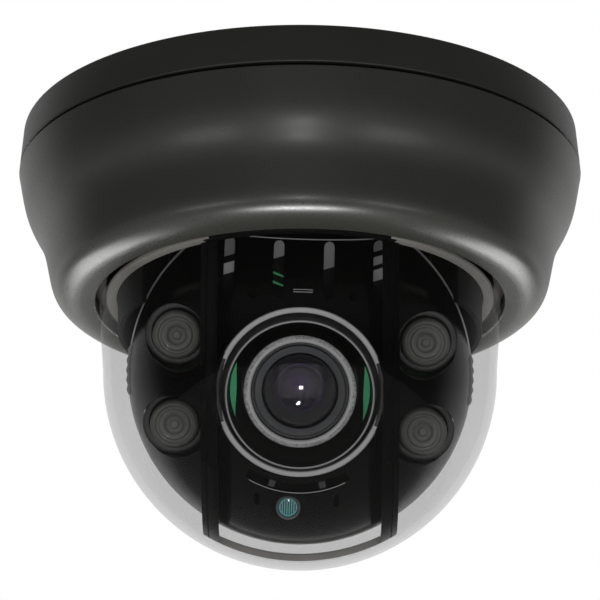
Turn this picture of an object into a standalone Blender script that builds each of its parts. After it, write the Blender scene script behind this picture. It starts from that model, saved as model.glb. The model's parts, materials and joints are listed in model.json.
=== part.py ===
"""Ceiling dome camera: a round surface-mount base, a bowl-shaped cover with a clear dome, and inside it a
camera ball that pans, tilts and rolls. The origin is the middle of the flat ceiling face and the dome hangs
towards -Z. The camera ball looks towards -Y and down. All sizes are in metres."""

from math import cos, hypot, pi, radians, sin, sqrt

import bmesh
import bpy
from mathutils import Matrix, Vector

# Overall sizes
COVER_FLARE = 0.0225  # from the dome's radius out to the cover's widest radius
COVER_DEPTH = 0.0462  # ceiling face to the cover's lowest lip
DOME_R = 0.0500  # outer radius of the clear hemisphere
DOME_CENTRE = 0.0646  # ceiling face down to the centre of dome and ball
BALL_CLEAR = 0.0046  # between the dome's inner face and the camera ball

# Clearances
GAP = 0.0003  # between pieces that rest on each other
ROUND = 0.0002  # eased edges
TOUCH = 0.0001
SEAM_GAP = 0.0002  # each side of the seam gasket
SLIDE_GAP = 0.0006  # between pieces that turn past each other

# Base
BASE_DEPTH = 0.0103
BASE_DRAFT = 0.0009  # the base is this much narrower at the ceiling
BASE_ROUND = 0.0006
BASE_PLATE = 0.0026
BASE_WALL = 0.0030
SEAM_STEP = 0.0001  # the base rim stands back from the cover's edge by this
SPIGOT_DEPTH = 0.0170
SPIGOT_WALL = 0.0024
SPIGOT_GAP = 0.0026
LUG_REACH = 0.0010
LUG_T = 0.0018
LUG_W = 0.0090
LUG_TOP = 0.0130
LUG_TURNS = (radians(30), radians(150), radians(270))
MOUNT_SLOT_R = 0.0560
MOUNT_SLOT_W = 0.0038
MOUNT_SLOT_LENGTH = 0.0110
MOUNT_SLOT_TURNS = (radians(0), radians(120), radians(240))

# Cable entry
ENTRY_Y = 0.0430
ENTRY_R = 0.0080
ENTRY_BORE_R = 0.0036
ENTRY_FLANGE = 0.0022
ENTRY_FLANGE_T = 0.0021

# Cover
GASKET_T = 0.0005
GASKET_W = 0.0026
COVER_WALL = 0.0025
NECK_STEP = 0.0085  # the neck is this much narrower than the cover's widest radius
LIP_OUT = 0.0080  # the lip's rounding, across
LIP_DROP = 0.0067  # the lip's rounding, down
# the cover's outline from the base to the lip, as shares of its run and its depth
COVER_CURVE = (
    (0.0, 1.0), (0.23, 0.864), (0.35, 0.77), (0.472, 0.598), (0.60, 0.345), (0.72, 0.19), (1.0, 0.0),
)
OPENING_GAP = 0.0006  # between the dome's skirt and the cover's opening
LOCK_SCREW_DROP = 0.0140
LOCK_SCREW_R = 0.0013
LOCK_SCREW_HEAD_R = 0.0029
LOCK_SCREW_HEAD_H = 0.0009
LOCK_SCREW_SINK = 0.0016

# Dome bubble and what holds it
DOME_WALL = 0.0020
DOME_DRAFT = 0.0016  # how much wider the skirt is at the opening than at the centre
DOME_FLANGE = 0.0040
SEAL_T = 0.0008
RETAINER_T = 0.0016
RETAINER_SCREW_R = 0.0010
RETAINER_SCREW_H = 0.0012
RETAINER_BOSS_R = 0.0022
RETAINER_TURNS = tuple(radians(45 + 90 * k) for k in range(4))

# Pan bearing and yoke
PAN_BORE_R = 0.0153
PAN_RING_W = 0.0090
PAN_RING_DROP = 0.0092  # ceiling face to the underside of the fixed bearing ring
PAN_LIP_T = 0.0042
PAN_HUB_WALL = 0.0030
PAN_WASHER_T = 0.0007
TURNTABLE_T = 0.0020
TURNTABLE_CLEAR = 0.0010  # between the turntable's edge and the liner's inner face
ARM_T = 0.0024
ARM_REACH = 0.0120
ARM_BACK = 0.0015  # the arm keeps this far behind the tilt axis, clear of the ball's rim
PIVOT_EYE_R = 0.0055
PIVOT_R = 0.0015
PIVOT_HEAD_R = 0.0030
PIVOT_HEAD_H = 0.0016

# Liner and light barrier, which turn with the yoke
LINER_INSET = 0.0035  # inside the dome's outer radius
LINER_WALL = 0.0015
LINER_DROP = 0.0542
LINER_FRONT_DROP = 0.0360
LINER_OPEN = radians(58)
LINER_LIP_W = 0.0050
LINER_LIP_T = 0.0014
BARRIER_HALF = 0.0244
BARRIER_T = 0.0041  # width of each rib
BARRIER_WALL = 0.0015  # depth of each rib, from the dome inwards
BARRIER_GAP = 0.0004  # between rib and dome
BARRIER_SEAT = 0.0040  # the ribs thicken over this height to sit under the liner
BARRIER_BEND = 0.0120  # the ribs run straight to this far behind the dome's axis
BARRIER_BOW = 0.0075  # depth of the bow that joins them
BARRIER_BOW_T = 0.0035

# Cradle, the tilting frame
CRADLE_X = 0.0335  # outer face of the ears
CRADLE_T = 0.0024
CRADLE_PLATE_T = 0.0020
CRADLE_BACK = 0.0060
CRADLE_HALF = 0.0065
ROLL_BORE_R = 0.0090
HUB_WALL = 0.0030
HUB_FLANGE = 0.0040
ROLL_BOSS_R = 0.0150
ROLL_WASHER_T = 0.0008
ROLL_CLIP_T = 0.0014

# Ball
BALL_WALL = 0.0020
BALL_RIM = 0.0005  # the shell starts this far in front of the tilt axis
CARRIER_Z = 0.0065
CARRIER_T = 0.0020
GRIP_H = 0.0007
GRIP_LENGTH = 0.0125
GRIP_W = 0.0030
GRIP_TEETH = 5
TILT = radians(27)  # the lens looks this far below the horizon at rest
ROLL = radians(-1.8)  # the ball's turn about the lens axis at rest

# Lens
LENS_OPENING_R = 0.0213
BEZEL_R = 0.0185
BEZEL_WALL = 0.0006
BEZEL_RIM_W = 0.0010
BEZEL_LEDGE = 0.0005
BEZEL_RING_T = 0.0012
BEZEL_STEP = 0.0032  # rim down to the inner ring
BEZEL_DEPTH = 0.0070
BARREL_R = 0.0139
BARREL_WALL = 0.0016
LENS_SINK = 0.0069  # the barrel's tip lies this far inside the ball's radius
RING_T = 0.0030
GLASS_R = 0.0090
GLASS_SINK = 0.0030  # barrel tip down to the glass seat
GLASS_CURVE_R = 0.0195
GLASS_RISE = 0.0023
GLASS_EDGE = 0.0015
RINGS_DROP = 0.0075  # barrel tip down to the focus ring
SENSOR_BOARD_Z = 0.0100
SENSOR_BOARD_T = 0.0016
SENSOR_BOARD_W = 0.0360
HOLDER_W = 0.0200
HOLDER_H = 0.0070
HOLDER_BORE_R = 0.0075
CHIP_HALF = 0.0045
CHIP_T = 0.0012
FILTER_R = 0.0070
FILTER_T = 0.0015
FILTER_SINK = 0.0015  # holder top down to the filter
LEVER_T = 0.0016
LEVER_ANGLE = radians(15)
SLOT_R = 0.0239
SLOT_W = 0.0024
SLOT_HALF = radians(31)

# Infrared lamps and light sensor
LED_X = 0.0310
LED_Y = 0.0112
LED_R = 0.0060
CUP_R = 0.0078
CUP_WALL = 0.0010
LED_PROUD = 0.0024  # the lamp stands this far above the ball at its outermost edge
LED_CROWN = 0.0018  # rounding of the lamp's edge
CUP_DROP = 0.0040  # lamp front down to the cup's rim
CELL_X = -0.0020
CELL_Y = -0.0297
CELL_R = 0.0024
CELL_HOLE_R = 0.0034
CELL_T = 0.0020
CELL_SINK = 0.0012
TRIM_SLOT_X = 0.0098
TRIM_SLOT_RISE = 0.0022  # above the light sensor
TRIM_SLOT_LENGTH = 0.0034
TRIM_SLOT_W = 0.0013
VENT_X = (-0.0185, -0.0062, 0.0062, 0.0185)
VENT_LOW = 0.0230
VENT_HIGH = 0.0360
VENT_W = 0.0026

# Boards in the base
BOARD_W = 0.0360
BOARD_L = 0.0150
BOARD_T = 0.0016
BOARD_DROP = 0.0046
BOARD_MARGIN = 0.0035  # from the spigot's inner face
TERMINAL_LOW_X = -0.0150
TERMINAL_HIGH_X = -0.0046
TERMINAL_HALF = 0.0040
TERMINAL_H = 0.0080
TERMINAL_HOLE_X = (-0.0124, -0.0072)
TERMINAL_HOLE_R = 0.0016
TERMINAL_HOLE_DEPTH = 0.0030
JACK_X = 0.0080
JACK_R = 0.0045
JACK_BORE_R = 0.0014
JACK_H = 0.0090
POST_R = 0.0022
POST_INSET = 0.0030

# Facets round a full circle
FINE = 40
MEDIUM = 24
SMALL = 16
TINY = 8

COVER_R = DOME_R + COVER_FLARE
NECK_R = COVER_R - NECK_STEP
LINER_R = DOME_R - LINER_INSET
TURNTABLE_R = LINER_R - LINER_WALL - TURNTABLE_CLEAR
BALL_R = DOME_R - DOME_WALL - BALL_CLEAR
LENS_FRONT = BALL_R - LENS_SINK
SEAM_DROP = BASE_DEPTH + GASKET_T + 2 * SEAM_GAP
LED_FRONT = sqrt(BALL_R**2 - (hypot(LED_X, LED_Y) + LED_R) ** 2) + LED_PROUD
OPENING_R = DOME_R + DOME_DRAFT + OPENING_GAP
SPIGOT_R = COVER_R - COVER_WALL - SPIGOT_GAP
CENTRE = Vector((0, 0, -DOME_CENTRE))
TURNTABLE_TOP = -PAN_RING_DROP - 2 * GAP - PAN_WASHER_T


def clear_scene():
    for obj in list(bpy.data.objects):
        bpy.data.objects.remove(obj)


def finish(name, colour, roughness, metallic=0.0, alpha=1.0):
    """The named material, made once."""
    material = bpy.data.materials.get(name)
    if material is None:
        material = bpy.data.materials.new(name)
        material.use_nodes = True
        shader = material.node_tree.nodes["Principled BSDF"]
        shader.inputs["Base Color"].default_value = (*colour, 1.0)
        shader.inputs["Roughness"].default_value = roughness
        shader.inputs["Metallic"].default_value = metallic
        shader.inputs["Alpha"].default_value = alpha
    return material


def charcoal():
    return finish("charcoal paint", (0.030, 0.031, 0.029), 0.38)


def black_plastic():
    return finish("black plastic", (0.010, 0.010, 0.010), 0.28)


def rubber():
    return finish("black rubber", (0.012, 0.012, 0.012), 0.70)


def clear_plastic():
    return finish("clear plastic", (0.86, 0.86, 0.84), 0.03, alpha=0.25)


def steel():
    return finish("zinc steel", (0.55, 0.55, 0.54), 0.35, 1.0)


def board_green():
    return finish("circuit board", (0.020, 0.090, 0.040), 0.45)


def silver():
    return finish("satin silver", (0.45, 0.45, 0.46), 0.35, 1.0)


def lens_glass():
    return finish("coated glass", (0.020, 0.015, 0.030), 0.02, alpha=0.6)


def add_object(name, bm, material, parent=None):
    """Turn a bmesh into a named object whose faces all point out."""
    bmesh.ops.remove_doubles(bm, verts=bm.verts, dist=1e-7)
    bmesh.ops.recalc_face_normals(bm, faces=bm.faces)
    mesh = bpy.data.meshes.new(name)
    bm.to_mesh(mesh)
    bm.free()
    mesh.shade_smooth()
    mesh.set_sharp_from_angle(angle=radians(35))
    mesh.materials.append(material)
    obj = bpy.data.objects.new(name, mesh)
    bpy.context.scene.collection.objects.link(obj)
    obj.parent = parent
    return obj


def boolean(obj, operation, name, bm, parent=None):
    """Cut, join or intersect an object with a helper shape that is left out of the model."""
    helper = add_object(name, bm, black_plastic(), parent)
    helper.hide_render = True
    helper.display_type = "WIRE"
    modifier = obj.modifiers.new(name, "BOOLEAN")
    modifier.operation = operation
    modifier.solver = "EXACT"
    modifier.object = helper
    return helper


def arc(middle, radius, start, end, steps, squeeze=1.0):
    """Points (r, z) on an arc; squeeze scales it along z."""
    turns = [start + (end - start) * k / steps for k in range(steps + 1)]
    return [(middle[0] + radius * cos(t), middle[1] + radius * sin(t) * squeeze) for t in turns]


def spin_outline(bm, outline, steps, closed=True):
    """Turn an outline of (r, z) points about the Z axis. An open outline starts and ends on the axis."""
    verts = [bm.verts.new((r, 0, z)) for r, z in outline]
    edges = [bm.edges.new(pair) for pair in zip(verts, verts[1:])]
    if closed:
        edges.append(bm.edges.new((verts[-1], verts[0])))
    bmesh.ops.spin(
        bm, geom=verts + edges, cent=(0, 0, 0), axis=(0, 0, 1), dvec=(0, 0, 0), angle=2 * pi,
        steps=steps, use_merge=True, use_normal_flip=False, use_duplicate=False,
    )
    bmesh.ops.remove_doubles(bm, verts=bm.verts, dist=1e-7)


def hollow(bm, outer, inner, steps):
    """A hollow cap turned about Z: the outer line ends on the axis and the inner line starts there."""
    outer = outer[:-1] + [(0, outer[-1][1])]
    inner = [(0, inner[0][1])] + inner[1:]
    verts = [[bm.verts.new((r, 0, z)) for r, z in line] for line in (outer, inner)]
    edges = [bm.edges.new(pair) for line in verts for pair in zip(line, line[1:])]
    edges.append(bm.edges.new((verts[1][-1], verts[0][0])))
    bmesh.ops.spin(
        bm, geom=[*verts[0], *verts[1], *edges], cent=(0, 0, 0), axis=(0, 0, 1), dvec=(0, 0, 0),
        angle=2 * pi, steps=steps, use_merge=True, use_normal_flip=False, use_duplicate=False,
    )


def turned(name, outline, material, steps=MEDIUM, closed=True, parent=None):
    bm = bmesh.new()
    spin_outline(bm, outline, steps, closed)
    return add_object(name, bm, material, parent)


def ring(name, inner, outer, low, high, material, steps=MEDIUM, parent=None):
    outline = [(inner, high), (outer, high), (outer, low), (inner, low)]
    return turned(name, outline, material, steps, parent=parent)


def prism(bm, outline, low, high, place=Matrix()):
    """A closed prism on an outline of (x, y) points, from z = low to z = high, moved by place."""
    bottom = bm.faces.new([bm.verts.new((x, y, low)) for x, y in outline])
    grown = bmesh.ops.extrude_face_region(bm, geom=[bottom])["geom"]
    top = [part for part in grown if isinstance(part, bmesh.types.BMVert)]
    bmesh.ops.translate(bm, verts=top, vec=(0, 0, high - low))
    bmesh.ops.transform(bm, verts=top + list(bottom.verts), matrix=place)


def box(bm, low, high, place=Matrix()):
    corners = [(low[0], low[1]), (high[0], low[1]), (high[0], high[1]), (low[0], high[1])]
    prism(bm, corners, low[2], high[2], place)


def circle(radius, steps, middle=(0, 0)):
    turns = [2 * pi * k / steps for k in range(steps)]
    return [(middle[0] + radius * cos(t), middle[1] + radius * sin(t)) for t in turns]


def round_ended(length, width, steps=5):
    """Outline of a slot along x."""
    reach = (length - width) / 2
    right = arc((reach, 0), width / 2, -pi / 2, pi / 2, steps)
    left = arc((-reach, 0), width / 2, pi / 2, 3 * pi / 2, steps)
    return right + left


def rotate_z(turn):
    return Matrix.Rotation(turn, 4, "Z")


def along_x():
    """Stands a Z prism up along +X."""
    return Matrix.Rotation(pi / 2, 4, "Y")


def along_y():
    """Stands a Z prism up along -Y."""
    return Matrix.Rotation(pi / 2, 4, "X")


def smooth_curve(points, steps):
    """A smooth curve through the points, with this many steps between each two."""
    ends = [points[0], *points, points[-1]]
    curve = []
    for a, b, c, d in zip(ends, ends[1:], ends[2:], ends[3:]):
        for k in range(steps):
            t = k / steps
            weights = (
                (2 * t**2 - t**3 - t), (2 - 5 * t**2 + 3 * t**3), (t + 4 * t**2 - 3 * t**3), (t**3 - t**2),
            )
            curve.append(tuple(sum(w * q for w, q in zip(weights, near)) / 2 for near in zip(a, b, c, d)))
    return curve + [points[-1]]


def inset_curve(curve, wall):
    """The same curve moved towards the inside by the wall."""
    inner = []
    for k, (r, z) in enumerate(curve):
        before = curve[max(k - 1, 0)]
        after = curve[min(k + 1, len(curve) - 1)]
        run = (after[0] - before[0], after[1] - before[1])
        length = hypot(*run)
        inner.append((r + wall * run[1] / length, z - wall * run[0] / length))
    return inner


def empty(name, place, parent=None, turn=(0, 0, 0)):
    obj = bpy.data.objects.new(name, None)
    bpy.context.scene.collection.objects.link(obj)
    obj.location = place
    obj.rotation_euler = turn
    obj.parent = parent
    return obj


def screw(name, head_r, shank_r, head_h, length, place, turn=(0, 0, 0), parent=None):
    """A pan-head screw, head above the origin and shank below; the drive is a round socket."""
    socket = head_r * 0.45
    outline = [(0, head_h * 0.4), (socket, head_h * 0.4), (socket, head_h), (head_r * 0.8, head_h)]
    outline += [(head_r, head_h * 0.6), (head_r, 0), (shank_r, 0), (shank_r, -length), (0, -length)]
    obj = turned(name, outline, steel(), TINY, closed=False, parent=parent)
    obj.location = place
    obj.rotation_euler = turn
    return obj


# Root: base, cover and dome


def base_outline():
    rim = COVER_R - SEAM_STEP
    top = rim - BASE_DRAFT
    inner = rim - BASE_WALL
    outer = [(0, 0), (top - BASE_ROUND, 0), (top - BASE_ROUND * 0.3, -BASE_ROUND * 0.3), (top, -BASE_ROUND)]
    outer += [(rim, -BASE_DEPTH), (SPIGOT_R, -BASE_DEPTH), (SPIGOT_R, -SPIGOT_DEPTH)]
    inner = [(SPIGOT_R - SPIGOT_WALL, -SPIGOT_DEPTH), (SPIGOT_R - SPIGOT_WALL, -BASE_PLATE), (0, -BASE_PLATE)]
    return outer + inner


def make_base():
    base = turned("base_plate", base_outline(), charcoal(), FINE, closed=False)
    lugs = bmesh.new()
    for turn in LUG_TURNS:
        low = (SPIGOT_R - SPIGOT_WALL / 2, -LUG_W / 2, -LUG_TOP - LUG_T)
        high = (SPIGOT_R + LUG_REACH, LUG_W / 2, -LUG_TOP)
        box(lugs, low, high, rotate_z(turn))
    boolean(base, "UNION", "base_lug_shapes", lugs)
    holes = bmesh.new()
    for turn in MOUNT_SLOT_TURNS:
        place = rotate_z(turn) @ Matrix.Translation((MOUNT_SLOT_R, 0, 0)) @ rotate_z(pi / 2)
        prism(holes, round_ended(MOUNT_SLOT_LENGTH, MOUNT_SLOT_W), -2 * BASE_PLATE, BASE_PLATE, place)
    prism(holes, circle(ENTRY_R, SMALL, (0, ENTRY_Y)), -2 * BASE_PLATE, BASE_PLATE)
    bore = circle(LOCK_SCREW_R + GAP, TINY, (0, -LOCK_SCREW_DROP))
    prism(holes, bore, -COVER_R, -SPIGOT_R + 2 * SPIGOT_WALL, along_y())
    boolean(base, "DIFFERENCE", "base_hole_shapes", holes)


def make_entry_grommet():
    neck = ENTRY_R - GAP
    top = -BASE_PLATE - GAP
    outline = [(ENTRY_BORE_R, -GAP), (neck, -GAP), (neck, top), (ENTRY_R + ENTRY_FLANGE, top)]
    outline += [(ENTRY_R + ENTRY_FLANGE, top - ENTRY_FLANGE_T), (ENTRY_BORE_R, top - ENTRY_FLANGE_T)]
    grommet = turned("cable_entry_grommet", outline, rubber(), SMALL)
    grommet.location = (0, ENTRY_Y, 0)


def make_seam_gasket():
    outer = COVER_R - SEAM_STEP - BASE_DRAFT / 2
    high = -BASE_DEPTH - SEAM_GAP
    ring("seam_gasket", outer - GASKET_W, outer, high - GASKET_T, high, rubber(), FINE)


def cover_curve():
    """The cover's outer outline, from the seam down to the edge of the opening."""
    heel = -COVER_DEPTH + LIP_DROP
    points = []
    for down, out in COVER_CURVE:
        points.append((NECK_R + out * (COVER_R - NECK_R), -SEAM_DROP + down * (heel + SEAM_DROP)))
    lip = arc((NECK_R - LIP_OUT, heel), LIP_OUT, 0, -pi / 2, 4, LIP_DROP / LIP_OUT)
    return smooth_curve(points, 1) + lip[1:] + [(OPENING_R, -COVER_DEPTH)]


def make_cover():
    outer = cover_curve()
    inner = inset_curve(outer, COVER_WALL)
    inner[0] = (COVER_R - COVER_WALL, -SEAM_DROP)
    inner[-1] = (OPENING_R, -COVER_DEPTH + COVER_WALL)
    cover = turned("cover_housing", outer + inner[::-1], charcoal(), FINE)
    bosses = bmesh.new()
    floor = -COVER_DEPTH + COVER_WALL
    for turn in RETAINER_TURNS:
        middle = (boss_circle() * cos(turn), boss_circle() * sin(turn))
        prism(bosses, circle(RETAINER_BOSS_R, 12, middle), floor - COVER_WALL / 2, retainer_low() - GAP)
    for turn in LUG_TURNS:
        low = (SPIGOT_R + GAP, -LUG_W / 2, -LUG_TOP - 2 * LUG_T - 2 * GAP)
        high = (COVER_R - 0.8 * COVER_WALL, LUG_W / 2, -LUG_TOP - LUG_T - GAP)
        box(bosses, low, high, rotate_z(turn))
    boolean(cover, "UNION", "cover_boss_shapes", bosses)
    holes = bmesh.new()
    for turn in RETAINER_TURNS:
        middle = (boss_circle() * cos(turn), boss_circle() * sin(turn))
        prism(holes, circle(RETAINER_SCREW_R + GAP, TINY, middle), floor + GAP, retainer_low() + GAP)
    bore = circle(LOCK_SCREW_R + GAP, TINY, (0, -LOCK_SCREW_DROP))
    prism(holes, bore, -COVER_R - GAP, -SPIGOT_R, along_y())
    boolean(cover, "DIFFERENCE", "cover_hole_shapes", holes)
    holes = bmesh.new()
    sink = circle(LOCK_SCREW_HEAD_R + GAP, TINY, (0, -LOCK_SCREW_DROP))
    prism(holes, sink, -COVER_R - 2 * GAP, -COVER_R + LOCK_SCREW_SINK, along_y())
    boolean(cover, "DIFFERENCE", "cover_sink_shape", holes)


def boss_circle():
    """Radius of the circle of retaining screws: outside the dome's flange, inside the cover's wall."""
    return flange_r() + RETAINER_BOSS_R + 2 * GAP


def flange_r():
    return DOME_R + DOME_DRAFT + DOME_FLANGE


def seal_low():
    return -COVER_DEPTH + COVER_WALL + SEAM_GAP


def flange_low():
    return seal_low() + SEAL_T + SEAM_GAP


def retainer_low():
    return flange_low() + DOME_WALL + SEAM_GAP


def make_dome():
    skirt = DOME_R + DOME_DRAFT
    outer = [(flange_r(), flange_low() + DOME_WALL), (flange_r(), flange_low()), (skirt, flange_low())]
    outer += arc((0, -DOME_CENTRE), DOME_R, 0, -pi / 2, 9)
    inner = arc((0, -DOME_CENTRE), DOME_R - DOME_WALL, -pi / 2, 0, 8)
    inner += [(skirt - DOME_WALL, flange_low() + DOME_WALL)]
    bm = bmesh.new()
    hollow(bm, outer, inner, FINE)
    add_object("dome_bubble", bm, clear_plastic())


def make_dome_fixings():
    skirt = DOME_R + DOME_DRAFT
    ring("dome_seal", skirt + GAP, flange_r() - GAP, seal_low(), seal_low() + SEAL_T, rubber(), FINE)
    low = retainer_low()
    outer = boss_circle() + RETAINER_SCREW_R * 2
    retainer = ring("dome_retaining_ring", skirt, outer, low, low + RETAINER_T, steel(), FINE)
    holes = bmesh.new()
    for turn in RETAINER_TURNS:
        middle = (boss_circle() * cos(turn), boss_circle() * sin(turn))
        prism(holes, circle(RETAINER_SCREW_R + GAP, TINY, middle), low - RETAINER_T, low + 2 * RETAINER_T)
    boolean(retainer, "DIFFERENCE", "retaining_ring_holes", holes)
    length = low - (-COVER_DEPTH + COVER_WALL) - 3 * GAP + RETAINER_T
    for k, turn in enumerate(RETAINER_TURNS):
        place = (boss_circle() * cos(turn), boss_circle() * sin(turn), low + RETAINER_T + GAP)
        screw(
            f"dome_ring_screw_{k + 1}", 2 * RETAINER_SCREW_R,
            RETAINER_SCREW_R, RETAINER_SCREW_H, length, place,
        )


def make_lock_screw():
    place = (0, COVER_R - LOCK_SCREW_SINK + GAP, -LOCK_SCREW_DROP)
    length = COVER_WALL + SPIGOT_WALL
    screw(
        "cover_lock_screw", LOCK_SCREW_HEAD_R, LOCK_SCREW_R,
        LOCK_SCREW_HEAD_H, length, place, (-pi / 2, 0, 0),
    )


def make_pan_ring():
    """The fixed bearing ring under the base, with a counterbore for the retainer above its lip."""
    outer = PAN_BORE_R + PAN_RING_W
    step = PAN_BORE_R + PAN_RING_W * 0.3
    lip = -PAN_RING_DROP + PAN_LIP_T
    top = -BASE_PLATE - GAP
    outline = [(step, top), (outer, top), (outer, -PAN_RING_DROP), (PAN_BORE_R, -PAN_RING_DROP)]
    outline += [(PAN_BORE_R, lip), (step, lip)]
    turned("pan_bearing_ring", outline, black_plastic(), MEDIUM)


def make_base_board():
    middle = -(SPIGOT_R - SPIGOT_WALL) + BOARD_L / 2 + BOARD_MARGIN
    top = -BOARD_DROP
    bm = bmesh.new()
    box(bm, (-BOARD_W / 2, middle - BOARD_L / 2, top - BOARD_T), (BOARD_W / 2, middle + BOARD_L / 2, top))
    add_object("power_board", bm, board_green())
    low = top - BOARD_T - GAP
    bm = bmesh.new()
    far = (TERMINAL_LOW_X, middle - TERMINAL_HALF, low - TERMINAL_H)
    box(bm, far, (TERMINAL_HIGH_X, middle + TERMINAL_HALF, low))
    block = add_object("power_terminal_block", bm, finish("terminal green", (0.02, 0.16, 0.06), 0.5))
    bm = bmesh.new()
    mouth = low - TERMINAL_H
    for x in TERMINAL_HOLE_X:
        prism(bm, circle(TERMINAL_HOLE_R, TINY, (x, middle)), mouth - GAP, mouth + TERMINAL_HOLE_DEPTH)
    boolean(block, "DIFFERENCE", "terminal_holes", bm)
    outline = [(JACK_BORE_R, 0), (JACK_R, 0), (JACK_R, -JACK_H), (JACK_BORE_R, -JACK_H)]
    jack = turned("video_jack", outline, silver(), SMALL)
    jack.location = (JACK_X, middle, low)
    foot = top + GAP
    head = -BASE_PLATE - GAP
    for k, side in enumerate((-1, 1)):
        x = side * (BOARD_W / 2 - POST_INSET)
        outline = [(0, foot), (POST_R, foot), (POST_R, head), (0, head)]
        post = turned(f"board_post_{k + 1}", outline, black_plastic(), TINY, closed=False)
        post.location = (x, middle, 0)


def make_root():
    make_base()
    make_entry_grommet()
    make_seam_gasket()
    make_cover()
    make_dome()
    make_dome_fixings()
    make_lock_screw()
    make_pan_ring()
    make_base_board()


# Pan body: yoke, liner and light barrier


def arm_outline():
    """The arm in the (y, z) plane about the tilt axis: an eye, then a strip that climbs behind the axis."""
    top = DOME_CENTRE + TURNTABLE_TOP - TURNTABLE_T / 2
    eye = arc((0, 0), PIVOT_EYE_R, radians(75), radians(330), 12)
    back = [(ARM_REACH, 0.35 * ARM_REACH), (ARM_REACH, top), (ARM_BACK, top)]
    return eye + back


def make_yoke(pan):
    hub = PAN_BORE_R - GAP
    lip = -PAN_RING_DROP + PAN_LIP_T
    bottom = TURNTABLE_TOP - TURNTABLE_T
    outline = [(hub - PAN_HUB_WALL, lip), (hub, lip), (hub, TURNTABLE_TOP), (TURNTABLE_R, TURNTABLE_TOP)]
    outline += [(TURNTABLE_R, bottom), (hub - PAN_HUB_WALL, bottom)]
    yoke = turned("pan_yoke", outline, black_plastic(), MEDIUM, parent=pan)
    arms = bmesh.new()
    inner = CRADLE_X + GAP
    for side in (-1, 1):
        low, high = sorted((side * inner, side * (inner + ARM_T)))
        # The outline's (x, y) become the model's (y, z).
        turn = Matrix(((0, 0, 1, 0), (1, 0, 0, 0), (0, 1, 0, 0), (0, 0, 0, 1)))
        prism(arms, arm_outline(), low, high, Matrix.Translation(CENTRE) @ turn)
    boolean(yoke, "UNION", "yoke_arm_shapes", arms, pan)
    bores = bmesh.new()
    place = Matrix.Translation(CENTRE) @ along_x()
    prism(bores, circle(PIVOT_R + GAP, 12), -2 * CRADLE_X, 2 * CRADLE_X, place)
    boolean(yoke, "DIFFERENCE", "yoke_bores", bores, pan)


def make_pan_fixings(pan):
    hub = PAN_BORE_R - GAP
    low = -PAN_RING_DROP + PAN_LIP_T + GAP
    outer = PAN_BORE_R + PAN_RING_W * 0.3 - GAP
    ring("pan_retainer", hub - PAN_HUB_WALL, outer, low, -BASE_PLATE - 2 * GAP, steel(), MEDIUM, pan)
    high = TURNTABLE_TOP + GAP + PAN_WASHER_T
    outer = PAN_BORE_R + PAN_RING_W
    ring("pan_washer", PAN_BORE_R + GAP, outer, TURNTABLE_TOP + GAP, high, rubber(), MEDIUM, pan)


def make_liner(pan):
    top = TURNTABLE_TOP - TURNTABLE_T - GAP
    inner = LINER_R - LINER_WALL
    outline = [(inner - LINER_LIP_W, top), (LINER_R, top), (LINER_R, -LINER_DROP), (inner, -LINER_DROP)]
    outline += [(inner, top - LINER_LIP_T), (inner - LINER_LIP_W, top - LINER_LIP_T)]
    liner = turned("inner_liner", outline, black_plastic(), FINE, parent=pan)
    wedge = bmesh.new()
    reach = 2 * LINER_R
    side = (reach * sin(LINER_OPEN), -reach * cos(LINER_OPEN))
    outline = [(0, 0), (-side[0], side[1]), (-side[0], -reach), (side[0], -reach), (side[0], side[1])]
    prism(wedge, outline, -2 * LINER_DROP, -LINER_FRONT_DROP)
    boolean(liner, "DIFFERENCE", "liner_front_opening", wedge, pan)


def make_barrier(pan):
    """Two ribs against the dome on either side of the lens, joined by a shallow bow behind it."""
    outer = DOME_R - DOME_WALL - BARRIER_GAP
    inner = outer - BARRIER_WALL
    top = -LINER_FRONT_DROP - GAP
    seat = LINER_R - LINER_WALL
    foot = [(outer, top)] + arc((0, -DOME_CENTRE), outer, 0, -pi / 2, 9)
    well = arc((0, -DOME_CENTRE), inner, -pi / 2, 0, 9)
    well += [(inner, top - 2 * BARRIER_SEAT), (seat, top - BARRIER_SEAT), (seat, top)]
    bm = bmesh.new()
    hollow(bm, foot, well, MEDIUM)
    barrier = add_object("light_barrier", bm, black_plastic(), pan)
    slim = BARRIER_HALF - BARRIER_T
    bow = arc((0, BARRIER_BEND), BARRIER_HALF, 0, pi, 12, BARRIER_BOW / BARRIER_HALF)
    hollow_bow = arc((0, BARRIER_BEND), slim, pi, 0, 12, (BARRIER_BOW - BARRIER_BOW_T) / slim)
    path = [(BARRIER_HALF, -2 * DOME_R)] + bow + [(-BARRIER_HALF, -2 * DOME_R)]
    path += [(-slim, -2 * DOME_R)] + hollow_bow + [(slim, -2 * DOME_R)]
    wall = bmesh.new()
    prism(wall, path, -DOME_CENTRE - 2 * DOME_R, 0)
    boolean(barrier, "INTERSECT", "barrier_plan", wall, pan)


def make_pan(pan):
    make_yoke(pan)
    make_pan_fixings(pan)
    make_liner(pan)
    make_barrier(pan)


# Tilt body: the cradle. Its frame and the ball's have +Z along the lens axis, +X to the right and +Y up.


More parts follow.
